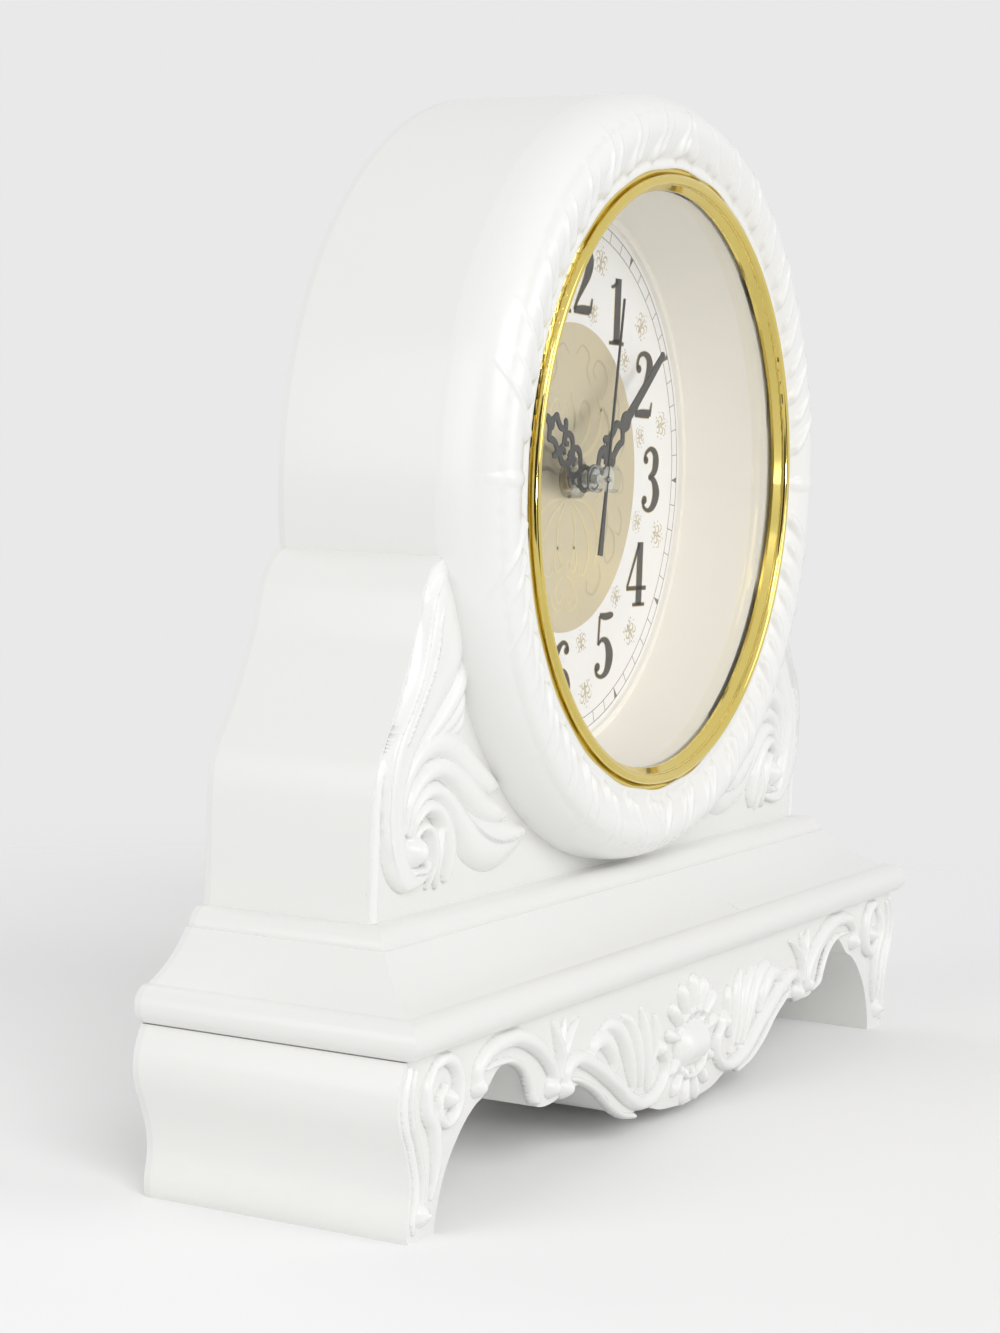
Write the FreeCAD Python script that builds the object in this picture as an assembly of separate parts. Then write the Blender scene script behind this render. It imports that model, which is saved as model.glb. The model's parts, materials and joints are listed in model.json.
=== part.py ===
import FreeCAD, Part
import math
import os

# Sizes of the case, in millimetres. X runs along the length, Y from front to back, Z up.
overall_width = 462.0
overall_depth = 110.0
wall = 2.5
base_height = 61.2
plinth_height = 36.4
drum_radius = 150.0
drum_lift = 2.4
rim_width = 27.0
rim_crest = 13.0
rim_round = 20.4
rim_edge = 5.8
ring_width = 10.0
bezel_step = 3.7
bezel_height = 6.7
lip_setback = 7.8
shoulder_depth = 67.1
foot_setback = 6.0
relief = 3.3
screw_diameter = 3.0
running_clearance = 0.05

# Sizes of the dial, the glass and the hands; each lift is measured from the dial's face
dial_thickness = 1.25
dial_margin = 2.3
disc_radius = 62.0
glass_thickness = 2.0
glass_gap = 17.8
hand_thickness = 0.8
hour_lift = 8.0
minute_gap = 4.0
second_gap = 6.2
hour_hand_length = 45.0
minute_hand_length = 81.4
second_hand_length = 72.7
second_hand_turn = 7.7
minute_hand_turn = 50.0
hour_hand_turn = 304.2

# Sizes of the quartz movement and of the cell that it holds
battery_length = 50.5
battery_diameter = 14.5
cell_clearance = 0.3
movement_wall = 1.2
contact_thickness = 0.4
contact_room = 1.8
train_clearance = 3.3
train_top = 28.2
service_room = 16.8
wheel_module = 0.25
arbor_radius = 0.4
seconds_radius = 0.75
minute_tube_wall = 1.2
hour_tube_wall = 0.45
bush_wall = 1.35
magnet_radius = 3.0
stator_leg = 2.0
stator_reach = 13.5
knob_radius = 5.0
knob_length = 4.2

# Sizes of the rear door
door_width = 73.4
door_height = 48.6
door_drop = 11.3
door_gap = 0.6

# Levels and places of the case
half_width = overall_width / 2
rear_y = overall_depth / 2
cover_y = rear_y - wall
plinth_bottom = base_height
plinth_top = base_height + plinth_height
drum_centre_z = plinth_top + drum_lift + drum_radius
overall_height = drum_centre_z + drum_radius
shoulder_front_y = rear_y - shoulder_depth
base_front_y = foot_setback - rear_y
ring_outer = drum_radius - rim_width
ring_inner = ring_outer - ring_width
shell_inner = drum_radius - wall

# Levels along the depth, worked out from the rear cover forwards
movement_depth = battery_diameter + movement_wall + cell_clearance
movement_rear_y = cover_y - service_room - knob_length - movement_wall / 2
movement_front_y = movement_rear_y - movement_depth
inner_front_y = movement_front_y + movement_wall
inner_depth = movement_depth - 2 * movement_wall
dial_y = movement_front_y - dial_thickness
hour_hand_y = dial_y - hour_lift
minute_hand_y = hour_hand_y - minute_gap
second_hand_y = minute_hand_y - second_gap
cap_front_y = second_hand_y - 4 * hand_thickness
lip_front_y = cap_front_y - glass_gap - glass_thickness
rim_front_y = lip_front_y - lip_setback
rim_start_y = rim_front_y + rim_round
rim_edge_y = rim_front_y + rim_edge
dial_radius = ring_inner - dial_margin

# Places and radii inside the movement
minute_bore = seconds_radius + running_clearance
minute_tube_radius = minute_bore + minute_tube_wall
hour_bore = minute_tube_radius + running_clearance
hour_tube_radius = hour_bore + hour_tube_wall
bush_bore = hour_tube_radius + running_clearance
bush_radius = bush_bore + bush_wall
half_movement = battery_length / 2 + movement_wall + contact_room
half_inside = half_movement - movement_wall
bay_top_z = drum_centre_z - 33 * wheel_module - train_clearance - movement_wall
battery_z = bay_top_z - cell_clearance - battery_diameter / 2
battery_y = inner_front_y + cell_clearance + battery_diameter / 2
movement_bottom_z = battery_z - battery_diameter / 2 - cell_clearance - movement_wall
movement_top_z = drum_centre_z + train_top
motion_module = minute_tube_radius / 5
hour_module = motion_module * 24 / 25
third_module = wheel_module * 36 / 34
door_centre_z = drum_centre_z - door_drop
hinge_radius = wall / 2
hinge_z = door_centre_z - door_height / 2 + hinge_radius
hinge_y = rear_y - hinge_radius
hinge_pin_radius = 0.4 * hinge_radius

# Teeth, and the height of each gear in the movement as shares of its inner depth
tooth_counts = {"rotor": 8, "intermediate": 40, "intermediate_pinion": 8, "second": 48, "second_pinion": 8,
                "third": 60, "third_pinion": 8, "centre": 64, "cannon": 12, "motion": 36,
                "motion_pinion": 10, "hour": 40}
layer_shares = {"hour": (0.03, 0.12), "cannon": (0.14, 0.23), "centre": (0.26, 0.33), "plate": (0.35, 0.40),
                "third": (0.43, 0.49), "second": (0.51, 0.57), "rotor": (0.59, 0.65), "magnet": (0.68, 0.82),
                "stator": (0.70, 0.80)}
addendum_share = 0.6
dedendum_share = 0.9
root_half_share = 0.21
tip_half_share = 0.08

third_angle = 75.0
motion_angle = 0.0
rotor_angle = 151.7

# Outlines of the right half, as shares of the half width and of the height that they fill: the shoulder's
# from the plinth to the drum's centre, the base's from the floor to the plinth
shoulder_shares = ((0.634, 0.819), (0.684, 0.764), (0.701, 0.701), (0.711, 0.640), (0.729, 0.580),
                   (0.757, 0.491), (0.789, 0.412), (0.814, 0.352), (0.824, 0.270), (0.824, 0.147),
                   (0.824, 0.000))
foot_outer_shares = ((0.981, 1.000), (0.997, 0.863), (1.000, 0.771), (0.993, 0.654), (0.976, 0.523),
                     (0.962, 0.379), (0.958, 0.248), (0.964, 0.118), (0.959, 0.000))
foot_inner_shares = ((0.884, 0.000), (0.880, 0.105), (0.870, 0.216), (0.855, 0.333), (0.832, 0.444),
                     (0.805, 0.542), (0.765, 0.634))
arch_shares = ((0.765, 0.634), (0.736, 0.686), (0.704, 0.778), (0.668, 0.804), (0.630, 0.771),
               (0.601, 0.680), (0.585, 0.562), (0.567, 0.465))
apron_shares = ((0.567, 0.465), (0.535, 0.451), (0.500, 0.464), (0.463, 0.490), (0.428, 0.497),
                (0.395, 0.477), (0.357, 0.418), (0.322, 0.346), (0.290, 0.255), (0.256, 0.196),
                (0.225, 0.176), (0.190, 0.190))
shell_shares = ((0.190, 0.190), (0.150, 0.157), (0.115, 0.118), (0.070, 0.098), (0.030, 0.085),
                (0.000, 0.078))

# Centre lines of the carved bands in the same shares, with the width at each point as a share of that height
s_band_shares = ((0.640, 0.751, 0.026), (0.652, 0.685, 0.131), (0.663, 0.606, 0.152),
                 (0.695, 0.522, 0.126), (0.745, 0.430, 0.089), (0.787, 0.349, 0.079),
                 (0.800, 0.265, 0.081), (0.795, 0.173, 0.081), (0.775, 0.108, 0.076), (0.735, 0.076, 0.058))
plume_shares = ((0.745, 0.344), (0.700, 0.388), (0.640, 0.399), (0.580, 0.352), (0.520, 0.294),
                (0.440, 0.262), (0.410, 0.186), (0.345, 0.136), (0.400, 0.097), (0.482, 0.076),
                (0.552, 0.121), (0.606, 0.058), (0.670, 0.063), (0.745, 0.147))
fold_shares = ((0.625, 0.535), (0.592, 0.572), (0.573, 0.457), (0.634, 0.399), (0.715, 0.423))
c_scroll_shares = ((0.768, 0.752, 0.065), (0.760, 0.863, 0.078), (0.738, 0.915, 0.092),
                   (0.700, 0.941, 0.098), (0.650, 0.935, 0.098), (0.595, 0.856, 0.092),
                   (0.550, 0.745, 0.078), (0.526, 0.608, 0.065))
s_scroll_shares = ((0.484, 0.556, 0.065), (0.478, 0.627, 0.078), (0.425, 0.641, 0.092),
                   (0.365, 0.569, 0.092), (0.300, 0.438, 0.092), (0.246, 0.307, 0.092),
                   (0.197, 0.255, 0.092), (0.149, 0.261, 0.085), (0.114, 0.327, 0.072),
                   (0.106, 0.425, 0.059))
leaf_shares = (((0.383, 0.693, 0.039), (0.348, 0.680, 0.131), (0.315, 0.595, 0.105), (0.293, 0.510, 0.052)),
               ((0.330, 0.732, 0.039), (0.288, 0.693, 0.144), (0.259, 0.575, 0.131), (0.239, 0.425, 0.065)),
               ((0.215, 0.712, 0.039), (0.224, 0.621, 0.131), (0.214, 0.477, 0.118), (0.200, 0.340, 0.065)),
               ((0.528, 0.876, 0.039), (0.520, 0.817, 0.078), (0.503, 0.745, 0.052)))
foot_band_shares = ((0.955, 0.915, 0.105), (0.965, 0.752, 0.118), (0.950, 0.575, 0.105),
                    (0.935, 0.392, 0.092), (0.930, 0.229, 0.072), (0.932, 0.098, 0.059))

# Fastener and fitting counts, and places as shares or angles
drum_screw_angles = (35.0, 90.0, 145.0, 215.0, 270.0, 325.0)
ring_screw_count = 6
cover_foot_shares = (-0.92, -0.33, 0.33, 0.92)
plinth_screw_shares = (-0.70, -0.35, 0.35, 0.70)
rim_turn = 98
rim_bow_share = 0.054
wreath_from = rim_turn / 4
wreath_to = rim_turn


def vector(x, y, z):
    return FreeCAD.Vector(x, y, z)


def on_front(y):
    # Places a point of a front view, measured from the middle of the case and the floor, at depth y
    return lambda x, z: vector(x, y, z)


def on_section(radius, y):
    # Places a point of the drum's section: its distance from the drum's axis and its depth
    return vector(radius, y, drum_centre_z)


def on_side(y, z):
    return vector(-half_width, y, z)


def outline(place, start, steps):
    # Builds a face from straight and three-point arc steps, closed back to its start
    edges = []
    here = place(*start)
    for step in list(steps) + [(start,)]:
        target = place(*step[-1])
        if len(step) == 2:
            edges.append(Part.Arc(here, place(*step[0]), target).toShape())
        elif here.distanceToPoint(target) > 0:
            edges.append(Part.LineSegment(here, target).toShape())
        here = target
    return Part.Face(Part.Wire(edges))


def turned(start, steps):
    # Turns a section of radii and depths about the drum's axis
    face = outline(on_section, start, steps)
    return face.revolve(vector(0, 0, drum_centre_z), vector(0, 1, 0), 360)


def rod(radius, y0, y1, x=0, z=0):
    # Round bar along Y, placed from the drum's axis
    return Part.makeCylinder(radius, y1 - y0, vector(x, y0, drum_centre_z + z), vector(0, 1, 0))


def ring(outer, inner, y0, y1, x=0, z=0):
    return rod(outer, y0, y1, x, z).cut(rod(inner, y0, y1, x, z))


def block(x0, x1, y0, y1, z0, z1):
    return Part.makeBox(x1 - x0, y1 - y0, z1 - z0, vector(x0, y0, z0))


def fused(shapes):
    shapes = list(shapes)
    result = shapes[0].multiFuse(shapes[1:]) if len(shapes) > 1 else shapes[0]
    return result.removeSplitter()


def mirrored(shape):
    return shape.mirror(vector(0, 0, 0), vector(1, 0, 0))


def spline(place, points):
    curve = Part.BSplineCurve()
    curve.interpolate([place(*point) for point in points])
    return curve.toShape()


def on_base(shares):
    # Points of a base outline in real sizes
    return [(half_width * x, base_height * z) for x, z in shares]


def on_shoulder(shares):
    # Points of a shoulder outline in real sizes
    return [(half_width * x, plinth_top + (drum_centre_z - plinth_top) * z) for x, z in shares]


def inset(points, distance):
    # Moves each point of an open line square to it, to the left of its direction
    moved = []
    for index, (x, z) in enumerate(points):
        before = points[max(index - 1, 0)]
        after = points[min(index + 1, len(points) - 1)]
        dx, dz = after[0] - before[0], after[1] - before[1]
        length = math.hypot(dx, dz)
        moved.append((x - distance * dz / length, z + distance * dx / length))
    return moved


def band_face(y, shares, sized, height):
    # Closed outline of a carved band from its centre line and its widths
    centre = sized([share[:2] for share in shares])
    halves = [height * share[2] / 2 for share in shares]
    left = [inset(centre, half)[index] for index, half in enumerate(halves)]
    right = [inset(centre, -half)[index] for index, half in enumerate(halves)]
    place = on_front(y)
    edges = [spline(place, left), Part.LineSegment(place(*left[-1]), place(*right[-1])).toShape(),
             spline(place, right[::-1]), Part.LineSegment(place(*right[0]), place(*left[0])).toShape()]
    return Part.Face(Part.Wire(edges))


def base_band(y, shares):
    return band_face(y, shares, on_base, base_height)


def shoulder_band(y, shares):
    return band_face(y, shares, on_shoulder, drum_centre_z - plinth_top)


def raised(face, height):
    return face.extrude(vector(0, -height, 0))


def bead(x, z, y, radius):
    # Half ball that stands on a front face
    return Part.makeSphere(radius, vector(x, y, z), vector(0, -1, 0), 0, 90, 360)


def polygon(place, points):
    return Part.Face(Part.makePolygon([place(*point) for point in points] + [place(*points[0])]))


def shoulder_side(margin):
    return [(x - margin, z) for x, z in on_shoulder(shoulder_shares)]


def case_face(y, margin):
    # Both shoulders and the part of the drum between them, closed along the top of the plinth
    place = on_front(y)
    side = shoulder_side(margin)
    bottom = side[-1][1] + margin
    side = side[:-1] + [(side[-1][0], bottom)]
    other = [(-x, z) for x, z in side]
    edges = [spline(place, side),
             Part.LineSegment(place(*side[-1]), place(*other[-1])).toShape(),
             spline(place, other[::-1]),
             Part.LineSegment(place(*other[0]), place(*side[0])).toShape()]
    return Part.Face(Part.Wire(edges))


def rim_point(angle, depth):
    # Point of the rim's outer round at an angle from the drum's side, a depth under its surface
    bend = math.radians(angle)
    return (drum_radius - rim_crest + (rim_crest - depth) * math.cos(bend),
            rim_start_y - (rim_round - depth) * math.sin(bend))


def bowed(start, end):
    # Middle of the gentle arc by which the rim falls back from its crest to the gold ring
    run_r, run_y = end[0] - start[0], end[1] - start[1]
    return ((start[0] + end[0]) / 2 - rim_bow_share * run_y,
            (start[1] + end[1]) / 2 + rim_bow_share * run_r)


def drum_body():
    # Outside of the drum with its rounded front rim and the step that takes the gold ring, as one solid
    crest = rim_point(rim_turn, 0)
    edge = (ring_outer, rim_edge_y)
    return turned((0, cover_y), [((drum_radius, cover_y),), ((drum_radius, rim_start_y),),
                                 (rim_point(rim_turn / 4, 0), rim_point(rim_turn / 2, 0)),
                                 (rim_point(3 * rim_turn / 4, 0), crest), (bowed(crest, edge), edge),
                                 ((ring_outer, lip_front_y),), ((0, lip_front_y),)])


def drum_hollow():
    # Inside of the drum, one wall smaller
    crest = rim_point(rim_turn, wall)
    edge = (ring_outer + wall, rim_edge_y + 0.6 * wall)
    return turned((ring_outer + wall, lip_front_y + wall),
                  [(edge,), (bowed(crest, edge), crest),
                   (rim_point(3 * rim_turn / 4, wall), rim_point(rim_turn / 2, wall)),
                   (rim_point(rim_turn / 4, wall), (shell_inner, rim_start_y)), ((shell_inner, cover_y),),
                   ((0, cover_y),), ((0, lip_front_y + wall),)])


def screw_places():
    # Rear screws: round the drum, where its wall backs them
    reach = shell_inner - 0.9 * screw_diameter
    return [(reach * math.sin(math.radians(angle)), drum_centre_z + reach * math.cos(math.radians(angle)))
            for angle in drum_screw_angles]


def ring_screw_places():
    reach = ring_outer + 3.4 * screw_diameter
    turn = 2 * math.pi / ring_screw_count
    return [(reach * math.sin(turn * (index + 0.5)), drum_centre_z + reach * math.cos(turn * (index + 0.5)))
            for index in range(ring_screw_count)]


def bar(x, z, radius, y0, y1):
    return Part.makeCylinder(radius, y1 - y0, vector(x, y0, z), vector(0, 1, 0))


def upright(x, y, radius, z0, z1):
    return Part.makeCylinder(radius, z1 - z0, vector(x, y, z0))


def plinth_screw_places():
    y = (shoulder_front_y + cover_y) / 2
    return [(share * half_width, y) for share in plinth_screw_shares]


def case_shell():
    shoulders = case_face(shoulder_front_y, 0).extrude(vector(0, cover_y - shoulder_front_y, 0))
    inner_y = shoulder_front_y + wall
    inner = case_face(inner_y, wall).extrude(vector(0, cover_y - inner_y, 0))
    drum = drum_body()
    lip = rod(ring_outer - 1.6 * wall, lip_front_y, lip_front_y + wall)
    shoulder_shell = shoulders.cut(inner)
    drum_shell = drum.cut(fused([drum_hollow(), lip]))
    floor_cut = block(-half_width, half_width, rim_front_y, rear_y, 0, plinth_top)
    inside = fused([drum_hollow(), lip])
    shell = shoulder_shell.fuse(drum_shell).cut(inside).cut(floor_cut)
    boss_radius = 1.1 * screw_diameter
    bosses = [bar(x, z, boss_radius, rim_start_y, cover_y) for x, z in screw_places()]
    bosses += [bar(x, z, boss_radius, rim_front_y + wall / 2, lip_front_y + wall) for x, z in ring_screw_places()]
    bosses += [upright(x, y, boss_radius, plinth_top, plinth_top + 4 * screw_diameter)
               for x, y in plinth_screw_places()]
    shell = shell.fuse(fused(bosses).common(fused([drum, shoulders])))
    hole_radius = screw_diameter / 2
    holes = [bar(x, z, hole_radius, cover_y - 3 * screw_diameter, cover_y) for x, z in screw_places()]
    holes += [bar(x, z, hole_radius, lip_front_y + wall - 2.5 * screw_diameter, lip_front_y + wall)
              for x, z in ring_screw_places()]
    holes += [upright(x, y, hole_radius, plinth_top, plinth_top + 3 * screw_diameter)
              for x, y in plinth_screw_places()]
    return shell.cut(fused(holes)).removeSplitter()


def pan_screw(place, direction, length):
    # Screw with a flat round head, whose head sits on the plane at place and whose shank runs along direction
    head = Part.makeCylinder(screw_diameter, 0.6 * screw_diameter, place, direction.negative())
    shank = Part.makeCylinder(screw_diameter / 2, length, place, direction)
    slot = Part.makeBox(4 * screw_diameter, 0.3 * screw_diameter, 0.3 * screw_diameter)
    slot.translate(vector(-2 * screw_diameter, -0.15 * screw_diameter, 0.4 * screw_diameter))
    turn = FreeCAD.Rotation(vector(0, 0, 1), direction.negative())
    slot.Placement = FreeCAD.Placement(place, turn).multiply(slot.Placement)
    return head.fuse(shank).cut(slot)


def rear_cover():
    plate = case_face(cover_y, 0).extrude(vector(0, wall, 0)).fuse(rod(drum_radius, cover_y, rear_y))
    plate = plate.cut(block(-half_width, half_width, cover_y, rear_y, 0, plinth_top))
    half_opening = door_width / 2 + door_gap
    bottom = hinge_z - hinge_radius - door_gap
    plate = plate.cut(block(-half_opening, half_opening, cover_y, rear_y, bottom,
                            door_centre_z + door_height / 2 + door_gap))
    holes = [bar(x, z, screw_diameter / 2, cover_y, rear_y) for x, z in screw_places()]
    sinks = [bar(x, z, screw_diameter, rear_y - 0.6 * screw_diameter, rear_y) for x, z in screw_places()]
    reach = door_width / 2 + door_gap + 2 * wall
    pin = Part.makeCylinder(hinge_pin_radius, 2 * reach, vector(-reach, hinge_y, hinge_z), vector(1, 0, 0))
    return plate.cut(fused(holes + sinks + [pin])).removeSplitter()


def access_door():
    # Plate with a rounded lower edge round the hinge line, and a finger notch at the top
    half = door_width / 2
    top = door_centre_z + door_height / 2
    plate = block(-half, half, cover_y, rear_y, hinge_z, top)
    edge = Part.makeCylinder(hinge_radius, door_width, vector(-half, hinge_y, hinge_z), vector(1, 0, 0))
    notch = Part.makeCylinder(4 * wall, wall / 2, vector(0, rear_y - wall / 2, top), vector(0, 1, 0))
    bore = Part.makeCylinder(hinge_pin_radius + running_clearance, door_width, vector(-half, hinge_y, hinge_z),
                             vector(1, 0, 0))
    return plate.fuse(edge).cut(notch).cut(bore).removeSplitter()


def door_hinge_pins():
    # Two pins, one at each end of the door, held in the cover
    reach = door_width / 2 + door_gap + 2 * wall
    length = reach - door_width / 2 + 4 * wall
    return Part.makeCompound([
        Part.makeCylinder(hinge_pin_radius, length, vector(start, hinge_y, hinge_z), vector(1, 0, 0))
        for start in (-reach, reach - length)])


def rear_cover_screws():
    y = rear_y - 0.6 * screw_diameter
    return Part.makeCompound([pan_screw(vector(x, y, z), vector(0, -1, 0), 3 * screw_diameter)
                              for x, z in screw_places()])


def moulding_steps(inner):
    # Section of the plinth's edge from its underside to its top, as distance in from the roll and height
    grow = wall if inner else 0
    roll_in = 0.184 * plinth_height
    roll_z = plinth_bottom + roll_in
    roll_radius = roll_in - grow
    cove_in = 0.224 * plinth_height + grow
    cove_z = roll_z + roll_radius
    ledge_in = 0.82 * plinth_height + grow
    ledge_z = plinth_bottom + 0.82 * plinth_height
    hollow_share = 0.57
    middle = (cove_in + hollow_share * (ledge_in - cove_in), ledge_z - hollow_share * (ledge_z - cove_z))
    step_in = ledge_in + 0.05 * plinth_height
    step_radius = plinth_top - grow - ledge_z
    slope = math.sqrt(0.5)
    bend = (step_in + (1 - slope) * step_radius, ledge_z + slope * step_radius)
    return [(roll_in, roll_z - roll_radius), ((roll_in - roll_radius, roll_z), (roll_in, roll_z + roll_radius)),
            (cove_in, cove_z), (middle, (ledge_in, ledge_z)), (step_in, ledge_z),
            (bend, (step_in + step_radius, plinth_top - grow))]


def moulding_path(steps, to_edge):
    # Lays the edge's section along one side, as steps that follow its start
    path = []
    for step in steps[1:]:
        points = step if isinstance(step[0], tuple) else (step,)
        path.append(tuple(to_edge(*point) for point in points))
    return path


def backwards(start, path):
    # The same path walked from its far end to its start
    ends = [start] + [step[-1] for step in path]
    return [step[:-1] + (ends[index],) for index, step in reversed(list(enumerate(path)))]


def moulding_face(y, inner):
    # Whole front view of the plinth, with the edge's section on both sides
    steps = moulding_steps(inner)
    left = moulding_path(steps, lambda inward, z: (inward - half_width, z))
    right = moulding_path(steps, lambda inward, z: (half_width - inward, z))
    left_start = (steps[0][0] - half_width, steps[0][1])
    right_start = (-left_start[0], left_start[1])
    return outline(on_front(y), left_start, left + [(right[-1][-1],)] + backwards(right_start, right))


def moulding_solid(inner):
    # The same edge runs along the front and both sides and meets at mitres; the back is cut flat
    steps = moulding_steps(inner)
    path = moulding_path(steps, lambda inward, z: (inward - rear_y, z))
    start = (steps[0][0] - rear_y, steps[0][1])
    face = outline(on_side, start, path + [((cover_y, path[-1][-1][1]),), ((cover_y, start[1]),)])
    front = face.extrude(vector(overall_width, 0, 0))
    sides = moulding_face(-rear_y, inner).extrude(vector(0, rear_y + cover_y, 0))
    return front.common(sides)


def base_screw_places():
    y = (base_front_y + cover_y) / 2
    return [(share * half_width, y) for share in plinth_screw_shares]


def plinth():
    body = moulding_solid(False).cut(moulding_solid(True))
    boss_radius = 1.1 * screw_diameter
    bosses = [upright(x, y, boss_radius, plinth_bottom, plinth_bottom + 4 * screw_diameter)
              for x, y in base_screw_places()]
    body = body.fuse(fused(bosses))
    holes = [upright(x, y, screw_diameter / 2, plinth_bottom, plinth_bottom + 3 * screw_diameter)
             for x, y in base_screw_places()]
    holes += [upright(x, y, screw_diameter / 2, plinth_top - 2 * wall, plinth_top)
              for x, y in plinth_screw_places()]
    return body.cut(fused(holes)).removeSplitter()


def plinth_screws():
    z = plinth_top - wall
    return Part.makeCompound([pan_screw(vector(x, y, z), vector(0, 0, 1), wall + 2.5 * screw_diameter)
                              for x, y in plinth_screw_places()])


def base_half(margin):
    # Points of the right half of the base, from the top of the foot round to the middle of the apron
    return [inset(on_base(shares), -margin) for shares in
            (foot_outer_shares, foot_inner_shares, arch_shares, apron_shares, shell_shares)]


def base_face(y):
    place = on_front(y)
    half = [on_base(shares) for shares in
            (foot_outer_shares, foot_inner_shares, arch_shares, apron_shares, shell_shares)]
    edges = []
    for side in (1, -1):
        turned_half = [[(side * x, z) for x, z in part] for part in half]
        edges += [spline(place, part) for part in turned_half]
        edges.append(Part.LineSegment(place(*turned_half[0][-1]), place(*turned_half[1][0])).toShape())
    corner = half[0][0]
    edges.append(Part.LineSegment(place(*corner), place(-corner[0], corner[1])).toShape())
    return Part.Face(Part.Wire(Part.__sortEdges__(edges)))


def base_hollow():
    # Inside of the feet and of the apron, a wall smaller than the outline
    place = on_front(base_front_y + wall)
    outer = base_half(wall)
    top = plinth_bottom - wall
    right = [point for point in outer[0] if wall < point[1] < top]
    right = [(right[0][0], top)] + right
    right += [point for point in outer[1] if point[1] > wall]
    right += [point for part in outer[2:] for point in part]
    right = [point for point in right if point[0] > 0]
    points = [right[0]]
    for x, z in right[1:]:
        if math.hypot(x - points[-1][0], z - points[-1][1]) > wall:
            points.append((x, z))
    left = [(-x, z) for x, z in reversed(points)]
    face = polygon(place, points + left)
    return face.extrude(vector(0, cover_y - base_front_y - wall, 0))


def base_cover_screw_places():
    z = plinth_bottom - 2.5 * screw_diameter
    return [(share * half_width, z) for share in cover_foot_shares]


def base_frame():
    body = base_face(base_front_y).extrude(vector(0, cover_y - base_front_y, 0))
    body = body.cut(base_hollow())
    boss_radius = 1.1 * screw_diameter
    bosses = [bar(x, z, boss_radius, base_front_y, cover_y) for x, z in base_cover_screw_places()]
    body = body.fuse(fused(bosses))
    holes = [bar(x, z, screw_diameter / 2, cover_y - 3 * screw_diameter, cover_y)
             for x, z in base_cover_screw_places()]
    holes += [upright(x, y, screw_diameter / 2, plinth_bottom - wall, plinth_bottom)
              for x, y in base_screw_places()]
    return body.cut(fused(holes)).removeSplitter()


def base_screws():
    z = plinth_bottom - wall
    return Part.makeCompound([pan_screw(vector(x, y, z), vector(0, 0, 1), wall + 2.5 * screw_diameter)
                              for x, y in base_screw_places()])


def base_rear_cover():
    plate = base_face(cover_y).extrude(vector(0, wall, 0))
    plate = plate.fuse(moulding_face(cover_y, False).extrude(vector(0, wall, 0)))
    holes = [bar(x, z, screw_diameter / 2, cover_y, rear_y) for x, z in base_cover_screw_places()]
    sinks = [bar(x, z, screw_diameter, rear_y - 0.6 * screw_diameter, rear_y)
             for x, z in base_cover_screw_places()]
    return plate.cut(fused(holes + sinks)).removeSplitter()


def base_cover_screws():
    y = rear_y - 0.6 * screw_diameter
    return Part.makeCompound([pan_screw(vector(x, y, z), vector(0, -1, 0), 3 * screw_diameter)
                              for x, z in base_cover_screw_places()])


def rim_wreath():
    # Band of leaves round the rounded rim, thickest in the middle of the bend
    middle = (wreath_from + wreath_to) / 2
    start, end = rim_point(wreath_from, 0), rim_point(wreath_to, 0)
    band = turned(start, [(rim_point(middle, -0.7 * relief), end), (rim_point(middle, wall / 2), start)])
    return band.cut(drum_body())


def shoulder_ornament_right():
    y = shoulder_front_y
    depth = 2 * relief
    place = on_front(y)
    plumes = raised(Part.Face(Part.Wire([spline(place, on_shoulder(plume_shares + plume_shares[:1]))])),
                    0.7 * depth)
    folds = raised(polygon(place, on_shoulder(fold_shares)), 0.6 * depth)
    band = raised(shoulder_band(y, s_band_shares), depth)
    ball_x, ball_z = on_shoulder(((0.717, 0.143),))[0]
    ball = bead(ball_x, ball_z, y - 0.5 * depth, 0.9 * depth)
    stalk = bar(ball_x, ball_z, 0.9 * depth, y - 0.5 * depth, y)
    whole = fused([band, plumes, folds, ball, stalk])
    return whole.cut(drum_body())


def shoulder_ornament_left():
    return mirrored(shoulder_ornament_right())


def apron_ornament():
    y = base_front_y
    half = [raised(base_band(y, c_scroll_shares), relief), raised(base_band(y, s_scroll_shares), relief)]
    half += [raised(base_band(y, shares), 0.8 * relief) for shares in leaf_shares]
    ends = (c_scroll_shares[0], c_scroll_shares[-1], s_scroll_shares[0], s_scroll_shares[-1])
    for x, z in on_base([share[:2] for share in ends]):
        half.append(bead(x, z, y, 1.3 * relief))
    right = fused(half)
    fan = []
    middle_z = 0.47 * base_height
    petal = 1.1 * relief
    for angle in range(-60, 61, 30):
        turn = math.radians(angle)
        for direction, reach in ((1, 6.2 * relief), (-1, 5.2 * relief)):
            tip = (reach * math.sin(turn) * 0.75, middle_z + direction * reach * math.cos(turn))
            face = polygon(on_front(y), [(-petal / 2, middle_z), tip, (petal / 2, middle_z)])
            fan.append(raised(face, 0.7 * relief))
            fan.append(bead(tip[0] * 0.9, middle_z + 0.9 * (tip[1] - middle_z), y, 0.7 * relief))
    boss = bar(0, middle_z, 3 * relief, y - 1.3 * relief, y)
    return fused([right, mirrored(right), boss] + fan)


def foot_ornament_right():
    y = base_front_y
    band = raised(base_band(y, foot_band_shares), relief)
    volute_x, volute_z = on_base(((0.87, 0.732),))[0]
    volute = bar(volute_x, volute_z, 3 * relief, y - 0.6 * relief, y)
    ball = bead(volute_x, volute_z, y - 0.6 * relief, 1.1 * relief)
    boss_x, boss_z = on_base(((0.925, 0.131),))[0]
    return fused([band, volute, ball, bead(boss_x, boss_z, y, relief)])


def foot_ornament_left():
    return mirrored(foot_ornament_right())


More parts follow.
